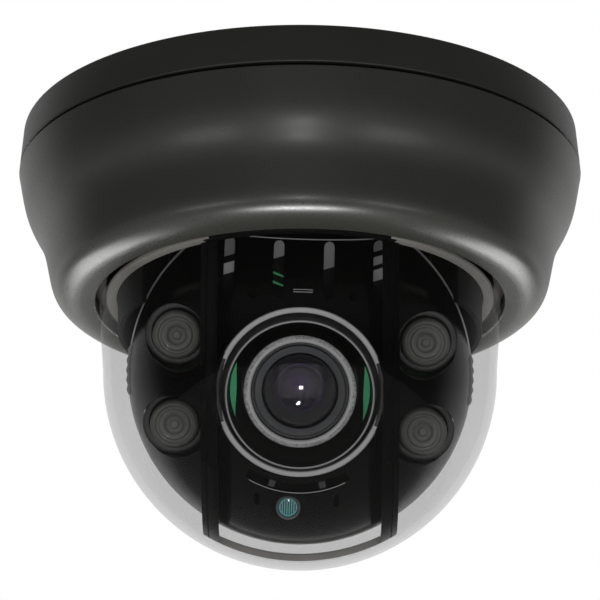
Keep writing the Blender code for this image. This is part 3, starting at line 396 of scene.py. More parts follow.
def material(name):
    """The named finish, made once from the colours in the panel."""
    if name in MATERIALS:
        return MATERIALS[name]
    tones = bpy.context.scene.dome_camera_colours
    paint = tuple(tones.paint)
    black = tuple(tones.black)
    recipes = {
        "charcoal_paint": lambda: surface(
            name, paint, tones.paint_gloss, grain=1800.0, mottle=45.0, vary=0.06, bump=0.06,
            edge_lightening=0.25, edge_colour=(0.10, 0.10, 0.10), specular=0.55,
        ),
        "base_paint": lambda: surface(
            name, tuple(part * 0.85 for part in paint), tones.paint_gloss + 0.07, grain=1400.0,
            mottle=45.0, vary=0.07, bump=0.12, edge_lightening=0.35, edge_colour=(0.11, 0.11, 0.10),
        ),
        "rubber": lambda: surface(name, (0.008, 0.008, 0.008), 0.75, grain=2200.0, bump=0.25, vary=0.2),
        "black_moulding": lambda: surface(
            name, black, 0.32, grain=1600.0, bump=0.12, vary=0.25, edge_lightening=0.2,
            edge_colour=(0.06, 0.06, 0.06),
        ),
        "gloss_black": lambda: surface(
            name, (0.0035, 0.0035, 0.0038), 0.20, grain=260.0, mottle=90.0, bump=0.004, vary=0.25,
            specular=0.28,
        ),
        "barrier_black": lambda: surface(
            name, (0.0022, 0.0022, 0.0024), 0.30, grain=500.0, bump=0.03, vary=0.2, specular=0.10,
            edge_lightening=0.4, edge_colour=(0.03, 0.03, 0.03),
        ),
        # painted light: pale grey standing in for the black barrier lightened by the dome's wall seen edge on
        "barrier_painted_light": lambda: surface(name, (0.62, 0.60, 0.57), 0.4, grain=900.0, bump=0.05),
        # painted light: pale colour standing in for the light seen in the dome's wall at the opening
        "painted_rim_light": lambda: surface(
            name, (0.92, 0.86, 0.80), 0.9, grain=3000.0, bump=0.5, vary=0.15, specular=0.2,
        ),
        "dark_inside": lambda: surface(
            name, (0.004, 0.004, 0.004), 0.6, grain=1200.0, bump=0.2, vary=0.3,
        ),
        "zinc": lambda: surface(
            name, (0.42, 0.42, 0.40), 0.34, 1.0, grain=700.0, mottle=220.0, vary=0.15, bump=0.1,
        ),
        # painted highlight: near-white for thin rims and edges that catch the light
        "painted_edge_highlight": lambda: surface(
            name, (0.95, 0.96, 0.98), 0.35, 0.0, grain=2500.0, bump=0.15, vary=0.12,
        ),
        "silver_grain": lambda: surface(
            name, (0.66, 0.66, 0.70), 0.45, 0.0, grain=2600.0, mottle=1500.0, vary=0.55, bump=0.8,
            bump_depth=0.00012,
        ),
        "grey_ring": lambda: surface(
            name, (0.150, 0.156, 0.165), 0.35, 0.0, grain=2400.0, bump=0.3, vary=0.2,
        ),
        "board": lambda: surface(
            name, (0.012, 0.070, 0.028), 0.35, grain=800.0, mottle=500.0, vary=0.35, bump=0.3,
        ),
        "terminal": lambda: surface(name, (0.02, 0.16, 0.06), 0.45, grain=900.0, bump=0.1),
        "plated": lambda: surface(name, (0.50, 0.50, 0.50), 0.25, 1.0, grain=900.0, bump=0.05),
        "chip": lambda: surface(name, (0.02, 0.02, 0.035), 0.08, grain=1500.0, bump=0.05, coat=0.6),
        "lamp_glass": lambda: surface(
            name, tuple(tones.lamp), 0.42, grain=600.0, mottle=300.0, vary=0.12, bump=0.05,
            specular=0.5, coat=0.2,
        ),
        "lamp_core": lambda: surface(name, (0.30, 0.30, 0.28), 0.5, 0.0, grain=900.0, vary=0.2),
        "cell_teal": lambda: surface(
            name, tuple(tones.cell), 0.3, grain=1500.0, vary=0.25, bump=0.1, coat=0.5,
        ),
        "cell_track": lambda: surface(name, (0.02, 0.10, 0.11), 0.35, grain=1500.0, vary=0.2),
        "violet_glass": lambda: surface(
            name, (0.10, 0.02, 0.24), 0.04, 0.7, grain=400.0, bump=0.0, vary=0.3, specular=0.8,
        ),
        "blue_glass": lambda: surface(
            name, (0.008, 0.015, 0.06), 0.06, 0.5, grain=400.0, bump=0.0, vary=0.3,
        ),
        # painted reflection: a plain green surface standing in for the green glints reflected beside the lens
        # and in a face slot
        "painted_green_reflection": lambda: surface(
            name, (0.06, 0.62, 0.25), 0.5, 0.0, grain=400.0, bump=0.02, vary=0.4,
        ),
        "clear_dome": lambda: see_through(
            name, tuple(tones.dome), tones.dome_tint, tones.dome_tint + 0.04, specular=0.8,
        ),
        "dome_inside": lambda: see_through(name, tuple(tones.dome), 0.015, 0.05),
        "front_glass": lambda: see_through(name, (0.004, 0.004, 0.010), 0.35, 0.75, 0.006, 1.6, 0.9),
        # painted highlight: light grey for the grips' faces turned to the light
        "grip_painted_light": lambda: surface(
            name, (0.42, 0.42, 0.41), 0.35, grain=1200.0, bump=0.1, vary=0.15,
        ),
        "label_white": lambda: surface(name, (0.95, 0.95, 0.93), 0.5, grain=1500.0, vary=0.1),
    }
    MATERIALS[name] = recipes[name]()
    return MATERIALS[name]


# Housing pieces


def slot_places():
    """Turns of the three ceiling-screw slots in the base."""
    return [radians(turn) for turn in (0, 120, 240)]


def make_cover():
    sizes = bpy.context.scene.dome_camera_sizes
    opening, _, depth, top = reach("cover_housing")
    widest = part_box("cover_housing")[1].x
    heel = depth + sizes.lip_drop
    points = [
        (sizes.neck_radius + out * (widest - sizes.neck_radius), top + down * (heel - top))
        for down, out in COVER_SHAPE
    ]
    lip = arc(
        (sizes.neck_radius - sizes.lip_width, heel), sizes.lip_width, 0, -pi / 2, 12,
        sizes.lip_drop / sizes.lip_width,
    )
    outer = smooth_curve(points + lip[1:], 0.0006, 12)
    inner = inset_curve(outer + [(opening + 0.0010, depth)], sizes.cover_wall)
    inner[0] = (widest - sizes.cover_wall, top)
    mouth = arc((opening + 0.0008, depth + 0.0008), 0.0008, -pi / 2, -pi, 4)
    edge = arc((widest - 0.0002, top - 0.0002), 0.0002, pi / 2, 0, 3)
    outline = edge + outer[1:] + mouth + [(opening, depth + sizes.cover_wall)] + inner[::-1]
    body = turned_mesh(outline, ROUND)
    cover = add_piece("cover", body, ["charcoal_paint"], "root", ["cover_housing"])
    low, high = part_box("cover_lock_screw")
    middle = (low + high) / 2
    radius = (high.x - low.x) / 2
    sink = bmesh.new()
    prism(sink, circle(radius + GAP, SMALL_ROUND, (0, middle.z)), -widest - GAP, -high.y + 0.0011, ALONG_Y)
    boolean(cover, sink)
    bore = bmesh.new()
    prism(bore, circle(0.0016, SMALL_ROUND, (0, middle.z)), -high.y, -low.y, ALONG_Y)
    boolean(cover, bore)


def make_base():
    _, widest, spigot_low, top = reach("base_plate")
    sizes = bpy.context.scene.dome_camera_sizes
    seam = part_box("seam_gasket")[1].z + 0.0002
    spigot = sizes.spigot_radius
    narrow = widest - sizes.base_draft
    outer = [(0, top), (narrow, top), (widest, seam), (spigot, seam), (spigot, spigot_low)]
    inner = [(spigot - 0.0024, spigot_low), (spigot - 0.0024, top - 0.0026), (0, top - 0.0026)]
    outline = rounded(outer + inner, 0.0006, 4, closed=False)
    base = add_piece(
        "base", turned_mesh(outline, ROUND, closed=False), ["base_paint"], "root",
        ["base_plate"],
    )
    holes = bmesh.new()
    for turn in slot_places():
        place = rotate_z(turn) @ Matrix.Translation((sizes.slot_circle, 0, 0)) @ rotate_z(pi / 2)
        prism(holes, round_ended(0.0110, 0.0038), -0.01, 0.01, place)
    low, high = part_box("cable_entry_grommet")
    prism(holes, circle(0.0080, SMALL_ROUND, (0, (low.y + high.y) / 2)), -0.01, 0.01)
    boolean(base, holes)
    recesses = bmesh.new()
    for turn in slot_places():
        place = rotate_z(turn) @ Matrix.Translation((sizes.slot_circle, 0, 0)) @ rotate_z(pi / 2)
        prism(recesses, round_ended(0.0150, 0.0078), top - 0.0005, 0.01, place)
    boolean(base, recesses)


def make_seals():
    for name, node, steps in (("seam_ring", "seam_gasket", ROUND), ("dome_seal_ring", "dome_seal", ROUND)):
        inner, outer, low, high = reach(node)
        outer -= 0.0015 if node == "seam_gasket" else 0
        outline = rounded([(inner, high), (outer, high), (outer, low), (inner, low)], (high - low) * 0.35)
        add_piece(name, turned_mesh(outline, steps), ["rubber"], "root", [node])
    low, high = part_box("cable_entry_grommet")
    place = Matrix.Translation((0, (low.y + high.y) / 2, 0))
    inner, outer, bottom, top = reach("cable_entry_grommet", place)
    waist = bottom + 0.0021
    outline = [
        (inner, top), (outer - 0.0025, top), (outer - 0.0025, waist), (outer, waist), (outer, bottom),
        (inner, bottom),
    ]
    grommet = turned_mesh(rounded(outline, 0.0005), SMALL_ROUND)
    add_piece(
        "entry_grommet", grommet, ["rubber"], "root", ["cable_entry_grommet"],
        place,
    )


def make_lock_screw():
    low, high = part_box("cover_lock_screw")
    middle = (low + high) / 2
    radius = (high.x - low.x) / 2
    head = 0.0009
    outline = [
        (0, 0.0004), (radius * 0.42, 0.0004), (radius * 0.42, head * 0.9), (radius * 0.75, head),
        (radius, head * 0.5),
    ]
    outline += [(radius, 0), (0.0013, 0), (0.0013, low.y - high.y + head), (0, low.y - high.y + head)]
    place = Matrix.Translation((0, high.y - head, middle.z)) @ Matrix.Rotation(-pi / 2, 4, "X")
    bm = turned_mesh(rounded(outline, 0.0002, closed=False), SMALL_ROUND, closed=False)
    screw = add_piece("lock_screw", bm, ["zinc"], "root", ["cover_lock_screw"], place)
    key = bmesh.new()
    prism(key, circle(radius * 0.5, 6), 0.00035, 0.01)
    boolean(screw, key, place=place)


def make_dome():
    sizes = bpy.context.scene.dome_camera_sizes
    _, flange, _, top = reach("dome_bubble")
    wall = sizes.dome_wall
    skirt = sizes.skirt_radius
    low = top - wall
    middle = BALL_CENTRE.z
    outer = [(flange - 0.0005, top), (flange, top - 0.0005), (flange, low + 0.0005), (flange - 0.0005, low)]
    outer += [(skirt + 0.0008, low), (skirt + 0.0002, low - 0.0002), (skirt, low - 0.0010)]
    outer += arc((0, middle), DOME_R, 0, -pi / 2, 40)[:-1] + [(0, middle - DOME_R)]
    inner = [(0, middle - DOME_R + wall)] + arc((0, middle), DOME_R - wall, -pi / 2, 0, 36)[1:]
    inner += [(skirt - wall, top - 0.0008), (skirt - wall + 0.0006, top), (flange - 0.0005, top)]
    bm = bmesh.new()
    spin_lines(bm, [outer, inner], ROUND)
    inside = DOME_R - wall / 2

    def inner_face(r, z, x):
        return (r if z > middle else hypot(r, z - middle)) < inside and z < top - wall

    paint_zone(bm, 1, inner_face)
    # Above the cover's opening, except in front of the face, the dome is painted pale: painted light for the
    # dome's wall seen edge on
    low = reach("cover_housing")[2]
    for face in bm.faces:
        middle = face.calc_center_median()
        if middle.z > low and not (abs(middle.x) < sizes.panel_half + 0.0040 and middle.y < 0):
            face.material_index = 2
    skins = ["clear_dome", "dome_inside", "painted_rim_light"]
    add_piece("clear_dome", bm, skins, "root", ["dome_bubble"], smooth=50)


def make_painted_rim_light():
    """A pale felt ring that closes the gap between the dome and the liner, dark in front of the face."""
    sizes = bpy.context.scene.dome_camera_sizes
    inner = reach("inner_liner")[1] + GAP
    outer = sizes.skirt_radius - sizes.dome_wall - 0.0001
    low = reach("cover_housing")[2] + 0.0010
    outline = rounded([(inner, low + 0.0012), (outer, low + 0.0012), (outer, low), (inner, low)], 0.0003)
    bm = turned_mesh(outline, ROUND)
    # In front of the face the ring is left dark, where the pale band of light is not seen
    for face in bm.faces:
        middle = face.calc_center_median()
        if abs(middle.x) < sizes.panel_half + 0.0040 and middle.y < 0:
            face.material_index = 1
    add_piece("painted_rim_light_ring", bm, ["painted_rim_light", "dark_inside"], "root")


def make_ring_fixings():
    inner, outer, low, high = reach("dome_retaining_ring")
    outline = rounded([(inner, high), (outer, high), (outer, low), (inner, low)], 0.0003)
    add_piece(
        "dome_ring", turned_mesh(outline, ROUND), ["zinc"], "root",
        ["dome_retaining_ring"],
    )


# Pieces that pan


def make_liner():
    inner_lip, outer, low, top = reach("inner_liner")
    sizes = bpy.context.scene.dome_camera_sizes
    inner = outer - sizes.liner_wall
    outline = [
        (inner_lip, top), (outer, top), (outer, low), (inner, low), (inner, top - 0.0014),
        (inner_lip, top - 0.0014),
    ]
    bm = turned_mesh(rounded(outline, 0.0004), ROUND)
    liner = add_piece("liner", bm, ["dark_inside"], "pan", ["inner_liner"])
    wedge = bmesh.new()
    far = 2 * outer
    side = (far * sin(sizes.liner_opening), -far * cos(sizes.liner_opening))
    prism(
        wedge, [(0, 0), (-side[0], side[1]), (-side[0], -far), (side[0], -far), (side[0], side[1])],
        2 * low, sizes.liner_front,
    )
    boolean(liner, wedge)
    soften(liner, 0.0003)


def barrier_shell(inner, outer, top):
    """The space just inside the dome: a cap with straight sides above the ball's centre."""
    middle = BALL_CENTRE.z
    bm = bmesh.new()
    lines = [
        [(outer, top)] + arc((0, middle), outer, 0, -pi / 2, 40)[:-1] + [(0, middle - outer)],
        [(0, middle - inner)] + arc((0, middle), inner, -pi / 2, 0, 40)[1:] + [(inner, top), (outer, top)],
    ]
    spin_lines(bm, lines, ROUND)
    return bm


def plan_path(half, slim):
    """Two straight arms that run forward, joined by a shallow bow behind the dome's axis."""
    bend = bpy.context.scene.dome_camera_sizes.barrier_bend
    path = [(half, -2 * DOME_R)] + arc((0, bend), half, 0, pi, 40, 0.31) + [(-half, -2 * DOME_R)]
    return path + [(-slim, -2 * DOME_R)] + arc((0, bend), slim, pi, 0, 40, 0.20) + [(slim, -2 * DOME_R)]


def make_barrier():
    low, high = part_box("light_barrier")
    sizes = bpy.context.scene.dome_camera_sizes
    half = (high.x - low.x) / 2
    outer = DOME_R - sizes.dome_wall - 0.0004
    inner = sizes.barrier_inner
    bm = barrier_shell(inner, outer, high.z)
    barrier = add_piece(
        "light_barrier_ribs", bm, ["barrier_black", "barrier_painted_light"], "pan",
        ["light_barrier"],
    )
    wall = bmesh.new()
    prism(wall, plan_path(half, half - sizes.barrier_width), BALL_CENTRE.z - 2 * DOME_R, 0)
    boolean(barrier, wall, "INTERSECT")
    # The back of the barrier and its bow between the ribs are painted pale grey: painted light for the black
    # barrier seen through the dome's wall edge on
    for face in barrier.data.polygons:
        behind = face.center.y > sizes.barrier_bend
        between_ribs = abs(face.center.x) < half - 1.3 * sizes.barrier_width and face.center.y > 0
        if behind or between_ribs:
            face.material_index = 1
    groove = barrier_shell(outer - 0.0005, outer + 0.001, high.z + 0.001)
    mesh = bpy.data.meshes.new("groove")
    groove.to_mesh(mesh)
    groove.free()
    helper = bpy.data.objects.new("groove", mesh)
    bpy.context.scene.collection.objects.link(helper)
    line = bmesh.new()
    prism(line, plan_path(half - 0.0013, half - 0.0016), BALL_CENTRE.z - 2 * DOME_R, 0.01)
    boolean(helper, line, "INTERSECT")
    cut = bmesh.new()
    cut.from_mesh(helper.data)
    bpy.data.objects.remove(helper)
    boolean(barrier, cut)
    soften(barrier, 0.00025)


# Pieces of the camera ball


def ball_holes(grow=0.0):
    """Every opening in the front of the ball as prisms along the lens axis, widened by grow."""
    sizes = bpy.context.scene.dome_camera_sizes
    bm = bmesh.new()
    start = 0.0085
    prism(bm, circle(sizes.lens_opening + grow, RING), start, 2 * BALL_R)
    for x, y in lamp_places():
        prism(bm, circle(sizes.cup_radius + grow, SMALL_ROUND, (x, y)), start, 2 * BALL_R)
    for x in (-0.0185, -0.0062, 0.0062, 0.0185):
        place = Matrix.Translation((x, 0.0295, 0)) @ rotate_z(pi / 2)
        prism(bm, round_ended(0.0130 + grow, 0.0026 + grow), start, 2 * BALL_R, place)
    for x in (-0.0124, 0.0124):
        prism(bm, circle(0.0012 + grow, 24, (x, 0.0240 - 0.0003)), start, 2 * BALL_R)
    low, high = cell_place()
    prism(bm, circle(0.0034 + grow, SMALL_ROUND, (low, high)), start, 2 * BALL_R)
    for x in (-0.0098, 0.0098):
        place = Matrix.Translation((x, high + 0.0022, 0)) @ rotate_z(pi / 2)
        prism(bm, round_ended(0.0034 + grow, 0.0013 + grow), start, 2 * BALL_R, place)
    span = radians(31)
    middle = -pi / 2
    far = arc((0, 0), sizes.lever_slot + 0.0012 + grow / 2, middle - span, middle + span, 24)
    near = arc((0, 0), sizes.lever_slot - 0.0012 - grow / 2, middle + span, middle - span, 24)
    prism(bm, far + near, start, 2 * BALL_R)
    return bm


def lamp_places():
    back = LENS.inverted()
    return [(back @ centre(f"infrared_lamp_{k}")).xy for k in (1, 2, 3, 4)]


def cell_place():
    return (LENS.inverted() @ centre("light_sensor")).xy


def make_shell():
    wall = 0.0020
    rim = 0.0005 / BALL_R  # the angle of a rim half a millimetre in front of the middle plane
    bm = bmesh.new()
    outer = arc((0, 0), BALL_R, rim, pi / 2, 48)[:-1] + [(0, BALL_R)]
    inner = [(0, BALL_R - wall)] + arc((0, 0), BALL_R - wall, pi / 2, rim, 40)[1:]
    spin_lines(bm, [outer, inner + outer[:1]], ROUND)
    # The shell's rim faces are painted near-white: a painted highlight where the rim edge catches the light
    paint_zone(bm, 1, lambda r, z, x: z < 0.0030 and hypot(r, z) > BALL_R - 0.001)
    shell = add_piece(
        "ball_face", bm, ["gloss_black", "painted_edge_highlight"], "ball",
        ["ball_shell"], LENS,
    )
    boolean(shell, ball_holes(), place=LENS)
    seams = bmesh.new()
    depth = BALL_R - 0.0005
    half = bpy.context.scene.dome_camera_sizes.panel_half
    for x in (-half, half):
        prism(seams, rectangle((x - 0.00016, -0.0400), (x + 0.00016, 0.0364)), 0, 2 * BALL_R)
    prism(seams, rectangle((-0.0190, 0.0363), (0.0190, 0.0367)), 0, 2 * BALL_R)
    bmesh.ops.recalc_face_normals(seams, faces=seams.faces)
    carve_outside(shell, seams, depth)
    arrow = bmesh.new()
    prism(arrow, [(-0.0024, 0.0252), (0.0024, 0.0252), (0, 0.0296)], 0, 2 * BALL_R)
    carve_outside(shell, arrow, BALL_R - 0.00012)
    soften(shell, 0.00022)


def make_slot_labels():
    """Pale printed strips behind the face slots, and the two fine lines below the arrow."""
    bits = [
        (-0.0185, 0.0268, 0.0295), (-0.0185, 0.0303, 0.0350), (-0.0062, 0.0310, 0.0352),
        (0.0062, 0.0286, 0.0352),
    ]
    bits += [(0.0185, 0.0262, 0.0290), (0.0185, 0.0297, 0.0318), (0.0185, 0.0325, 0.0350)]
    strip_r = BALL_R - 0.0021
    back = 0.0006
    front = 0.0003
    slant = 0.0010
    half = 0.0015
    labels = bmesh.new()
    for x, low, high in bits:
        depth = sqrt(strip_r**2 - x**2 - high**2)
        path = [(x - half, low), (x + half, low + slant), (x + half, high + slant), (x - half, high)]
        prism(labels, path, depth - back, depth - front)
    add_piece("slot_labels", labels, ["label_white"], "ball", (), LENS)
    # Green strips in the slot beside the arrow are painted reflections, not parts of the camera
    painted_slot_glint = bmesh.new()
    for low in (0.0277, 0.0256):
        depth = sqrt(strip_r**2 - 0.0062**2 - low**2)
        path = [(-0.0076, low + 0.0006), (-0.0047, low - 0.0004), (-0.0047, low), (-0.0076, low + 0.0012)]
        prism(painted_slot_glint, path, depth - back, depth - front)
    add_piece("slot_reflection", painted_slot_glint, ["painted_green_reflection"], "ball", (), LENS)
    lines = bmesh.new()
    for low in (0.02505, 0.0245):
        depth = sqrt(BALL_R**2 - 0.0024**2 - low**2)
        prism(lines, rectangle((-0.0024, low), (0.0024, low + 0.00012)), depth - 0.0004, depth + 0.00006)
    # A near-white arc along the lower edge of the lever slot: a painted reflection on the slot's bevel
    for turn in range(-28, 28, 2):
        arc_line = arc((0, 0), 0.02535, radians(turn) - pi / 2, radians(turn + 2) - pi / 2, 1)
        arc_line += arc((0, 0), 0.02520, radians(turn + 2) - pi / 2, radians(turn) - pi / 2, 1)
        surface_z = sqrt(BALL_R**2 - 0.0253**2)
        prism(lines, arc_line, surface_z - 0.0004, surface_z + 0.00006)
    # A near-white row along the top edge of the face panel: a painted highlight on the edge
    for k in range(-15, 15):
        x = k * 0.00124
        surface_z = sqrt(BALL_R**2 - (x + 0.0006) ** 2 - 0.0364**2)
        prism(lines, rectangle((x, 0.0363), (x + 0.00124, 0.0365)), surface_z - 0.0004, surface_z + 0.00008)
    add_piece("arrow_lines", lines, ["painted_edge_highlight"], "ball", (), LENS)


def make_ball_rim():
    """The pale edge of the ball's front shell."""
    outline = [
        (BALL_R - 0.0008, 0.0002), (BALL_R + 0.0003, 0.0002), (BALL_R + 0.0003, 0.0014),
        (BALL_R - 0.0008, 0.0014),
    ]
    rim = turned_mesh(rounded(outline, 0.0002), ROUND)
    add_piece("ball_rim", rim, ["painted_edge_highlight"], "ball", (), LENS)


def carve_outside(obj, bm, radius):
    """Cut prisms into the ball only as deep as this radius."""
    mesh = bpy.data.meshes.new("carver")
    bm.to_mesh(mesh)
    bm.free()
    helper = bpy.data.objects.new("carver", mesh)
    bpy.context.scene.collection.objects.link(helper)
    core = turned_mesh(arc((0, 0), radius, -pi / 2, pi / 2, 64), ROUND, closed=False)
    boolean(helper, core)
    bm = bmesh.new()
    bm.from_mesh(helper.data)
    bpy.data.objects.remove(helper)
    boolean(obj, bm, place=LENS)


def make_bezel():
    sizes = bpy.context.scene.dome_camera_sizes
    inner, outer, low, high = reach("lens_bezel", LENS)
    step = inner + 0.0006
    neck = reach("lens_front_barrel", LENS)[1] + 0.0006
    foot = max((LENS.inverted() @ vertex.co).z for vertex in frame["nodes"]["focus_lever"].data.vertices
               if hypot(*(LENS.inverted() @ vertex.co).xy) < inner) + 0.0008
    outline = [
        (outer - 0.0012, high - 0.0001), (outer - 0.0003, high), (outer, high - 0.0003), (outer, low),
        (inner, low),
    ]
    outline += [(inner - 0.0004, foot + 0.0020), (neck + 0.0008, foot), (neck, foot), (neck, foot + 0.0006)]
    outline += [
        (inner - 0.0010, high - 0.0052), (inner, high - 0.0032), (inner + 0.0003, high - 0.0029),
        (step - 0.0002, high - 0.0029), (step, high - 0.0032),
    ]
    outline += [(step, high - 0.0046), (outer - 0.0014, high - 0.0042), (outer - 0.0014, high - 0.0006)]
    bm = turned_mesh(rounded(outline, 0.0001, 2), RING)
    panel = sizes.panel_half - 0.0003
    # The bezel's top face inside the face panel and its inner step are painted near-white as highlights on
    # the rims
    paint_zone(bm, 1, lambda r, z, x: z > high - 0.0005 and abs(x) < panel)
    paint_zone(bm, 1, lambda r, z, x: z > high - 0.0034 and inner + 0.00005 < r < step + 0.0001)
    for vert in bm.verts:
        r = hypot(vert.co.x, vert.co.y)
        share = min(max((outer - 0.0016 - r) / 0.0006, 0.0), max((r - neck - 0.0004) / 0.0024, 0.0), 1.0)
        vert.co.y -= share * sizes.funnel_shift
    add_piece(
        "bezel", bm, ["black_moulding", "painted_edge_highlight"], "ball", ["lens_bezel"],
        LENS,
    )
    # Two green crescents beside the lens are painted reflections, not parts of the camera
    for k, side in enumerate((-1, 1)):
        painted_bezel_reflection = bmesh.new()
        turns = [radians(-24 + 48 * j / 16) for j in range(17)]
        middle = inner - 0.0007
        path = [(side * middle * cos(t), middle * sin(t)) for t in turns]
        path += [(side * (middle - 0.0016 * cos(t * 3.7)) * cos(t), middle * sin(t)) for t in turns[::-1]]
        prism(painted_bezel_reflection, path, high - 0.0044, high - 0.0042)
        add_piece(f"bezel_reflection_{k + 1}", painted_bezel_reflection, ["painted_green_reflection"], "ball", (), LENS)


def make_barrel():
    inner, outer, low, high = reach("lens_front_barrel", LENS)
    glass = reach("front_lens", LENS)[1]
    outline = [
        (outer - 0.0004, high), (outer, high - 0.0004), (outer, low), (inner, low), (inner, high - 0.0060),
        (glass + 0.0002, high - 0.0034), (glass + 0.0002, high - 0.0020), (glass + 0.0006, high - 0.0018),
        (0.0109, high - 0.0012), (0.0112, high - 0.0014), (0.0112, high - 0.0034), (0.0121, high - 0.0034),
        (0.0121, high - 0.0007), (0.0124, high - 0.0002), (0.0129, high - 0.0001), (0.0130, high - 0.0003),
        (0.0131, high - 0.0002),
    ]
    bm = turned_mesh(rounded(outline, 0.0001, 2), RING)
    paint_zone(bm, 1, lambda r, z, x: r > 0.0130 and z > high - 0.0012)
    # The narrow bead near the top of the barrel is painted near-white as a highlight
    paint_zone(bm, 2, lambda r, z, x: 0.01205 < r < 0.0130 and z > high - 0.0010)
    paint_zone(bm, 3, lambda r, z, x: glass + 0.0003 < r < 0.0112 and z > high - 0.0026)
    finishes = ("black_moulding", "silver_grain", "painted_edge_highlight", "grey_ring")
    add_piece("lens_barrel", bm, finishes, "ball", ["lens_front_barrel"], LENS)


def make_glass():
    _, radius, low, high = reach("front_lens", LENS)
    bulge = arc((0, high - 0.0195), 0.0195, pi / 2, radians(62), 24)
    bulge = [(0, high)] + [point for point in bulge[1:] if point[0] < radius - 0.0002]
    outline = rounded(bulge + [(radius, low + 0.0006), (radius, low), (0, low)], 0.0001, 2, closed=False)
    bm = turned_mesh(outline, RING, closed=False)
    add_piece("front_element", bm, ["front_glass"], "ball", ["front_lens"], LENS)
    elements = ((0.0060, 0.0040, "violet_glass"), (0.0046, 0.0058, "blue_glass"))
    for k, (reach_out, drop, name) in enumerate(elements, 1):
        top = low - drop + 0.0018
        dish = arc((0, top - 0.0110), 0.0110, pi / 2, radians(52), 16)
        dish = [(0, top)] + [point for point in dish[1:] if point[0] < reach_out]
        outline = dish + [(reach_out, dish[-1][1]), (reach_out, top - 0.0045), (0, top - 0.0045)]
        bm = turned_mesh(outline, RING, closed=False)
        add_piece(f"inner_element_{k}", bm, [name], "ball", (), LENS)
    inner, _, floor, _ = reach("lens_body", LENS)
    outline = [(0.0088, low - 0.0004), (inner - 0.0002, floor + 0.0040), (inner - 0.0012, floor + 0.0040)]
    outline += [(0.0052, low - 0.0050), (0.0066, low - 0.0030), (0.0082, low - 0.0004)]
    bm = turned_mesh(rounded(outline, 0.0002, 2), RING)
    add_piece("lens_baffle", bm, ["grey_ring"], "ball", (), LENS)


def make_lamps():
    for k, (x, y) in enumerate(lamp_places(), 1):
        place = LENS @ Matrix.Translation((x, y, 0))
        _, radius, low, high = reach(f"infrared_lamp_{k}", place)
        outline = [
            (0, high - 0.0007), (0.0009, high - 0.0006), (0.0012, high - 0.0009), (0.0022, high - 0.0007),
        ]
        outline += [
            (0.0025, high - 0.0004), (0.0037, high - 0.0002), (0.0040, high - 0.0005),
            (0.0046, high - 0.0004),
        ]
        outline += [
            (0.0049, high - 0.0001), (radius - 0.0006, high - 0.0002), (radius, high - 0.0009),
            (radius, low), (0, low),
        ]
        bm = turned_mesh(rounded(outline, 0.00025, 2, closed=False), SMALL_ROUND, closed=False)
        paint_zone(bm, 1, lambda r, z, x, limit=high: r < 0.0009 and z > limit - 0.002)
        finishes = ["lamp_glass", "lamp_core"]
        add_piece(f"lamp_{k}", bm, finishes, "ball", [f"infrared_lamp_{k}"], place)
        inner, outer, low, high = reach(f"lamp_cup_{k}", place)
        rim = bpy.context.scene.dome_camera_sizes.cup_radius - 0.0001
        outline = [
            (inner, high), (rim, high), (rim, high - 0.0012), (outer, high - 0.0020), (outer, low),
            (inner, low),
        ]
        bm = turned_mesh(rounded(outline, 0.0003), SMALL_ROUND)
        add_piece(
            f"lamp_cup_ring_{k}", bm, ["black_moulding"], "ball",
            [f"lamp_cup_{k}"], place,
        )


def make_cell():
    x, y = cell_place()
    place = LENS @ Matrix.Translation((x, y, 0))
    _, radius, low, high = reach("light_sensor", place)
    outline = rounded(
        [(0, high - 0.0002), (radius, high - 0.0002), (radius, low), (0, low)], 0.0003, closed=False,
    )
    disc = turned_mesh(outline, SMALL_ROUND, closed=False)
    add_piece("light_cell", disc, ["cell_teal"], "ball", ["light_sensor"], place)
    track = bmesh.new()
    pitch = 0.00062
    half = 0.00013
    for k in range(-3, 4):
        across = k * pitch * 0.92
        tall = sqrt(max((radius * 0.80) ** 2 - across**2, 0.0))
        prism(track, rectangle((across - half, -tall), (across + half, tall)), high - 0.0003, high - 0.00005)
    add_piece("light_cell_track", track, ["cell_track"], "ball", (), place)
    near = radius + 0.0001
    far = radius + 0.0007
    rim = high + 0.0002
    sleeve = rounded([(near, rim), (far, rim), (far, low), (near, low)], 0.0001)
    add_piece(
        "light_cell_sleeve", turned_mesh(sleeve, SMALL_ROUND), ["grey_ring"], "ball",
        (), place,
    )


def finish_cad_nodes():
    """Give each CAD node that stays in view or inside the camera its finish."""
    finishes = {
        "zinc": [f"dome_ring_screw_{k}" for k in range(1, 5)] + [
            "pan_retainer", "tilt_cradle", "tilt_pivot_screw_left", "tilt_pivot_screw_right", "roll_clip",
        ],
        "rubber": ["pan_washer", "roll_washer"],
        "board": ["power_board", "lamp_board_left", "lamp_board_right", "sensor_board"],
        "terminal": ["power_terminal_block"],
        "plated": ["video_jack"],
        "chip": ["image_sensor"],
        "violet_glass": ["rear_filter"],
        # The grips take a light grey that stands in for their lit faces
        "grip_painted_light": ["ball_grip_left", "ball_grip_right"],
        "black_moulding": ["pan_bearing_ring", "board_post_1", "board_post_2", "pan_yoke", "lens_holder",
                           "lens_body", "zoom_ring", "focus_ring", "zoom_lever", "focus_lever"],
        "dark_inside": ["ball_carrier"],
    }
    for name, nodes in finishes.items():
        for node in nodes:
            for entry in frame["nodes"][node].material_slots:
                entry.material = material(name)


# Stage


def aim(obj, target):
    obj.rotation_mode = "QUATERNION"
    obj.rotation_quaternion = (Vector(target) - obj.location).to_track_quat("-Z", "Y")


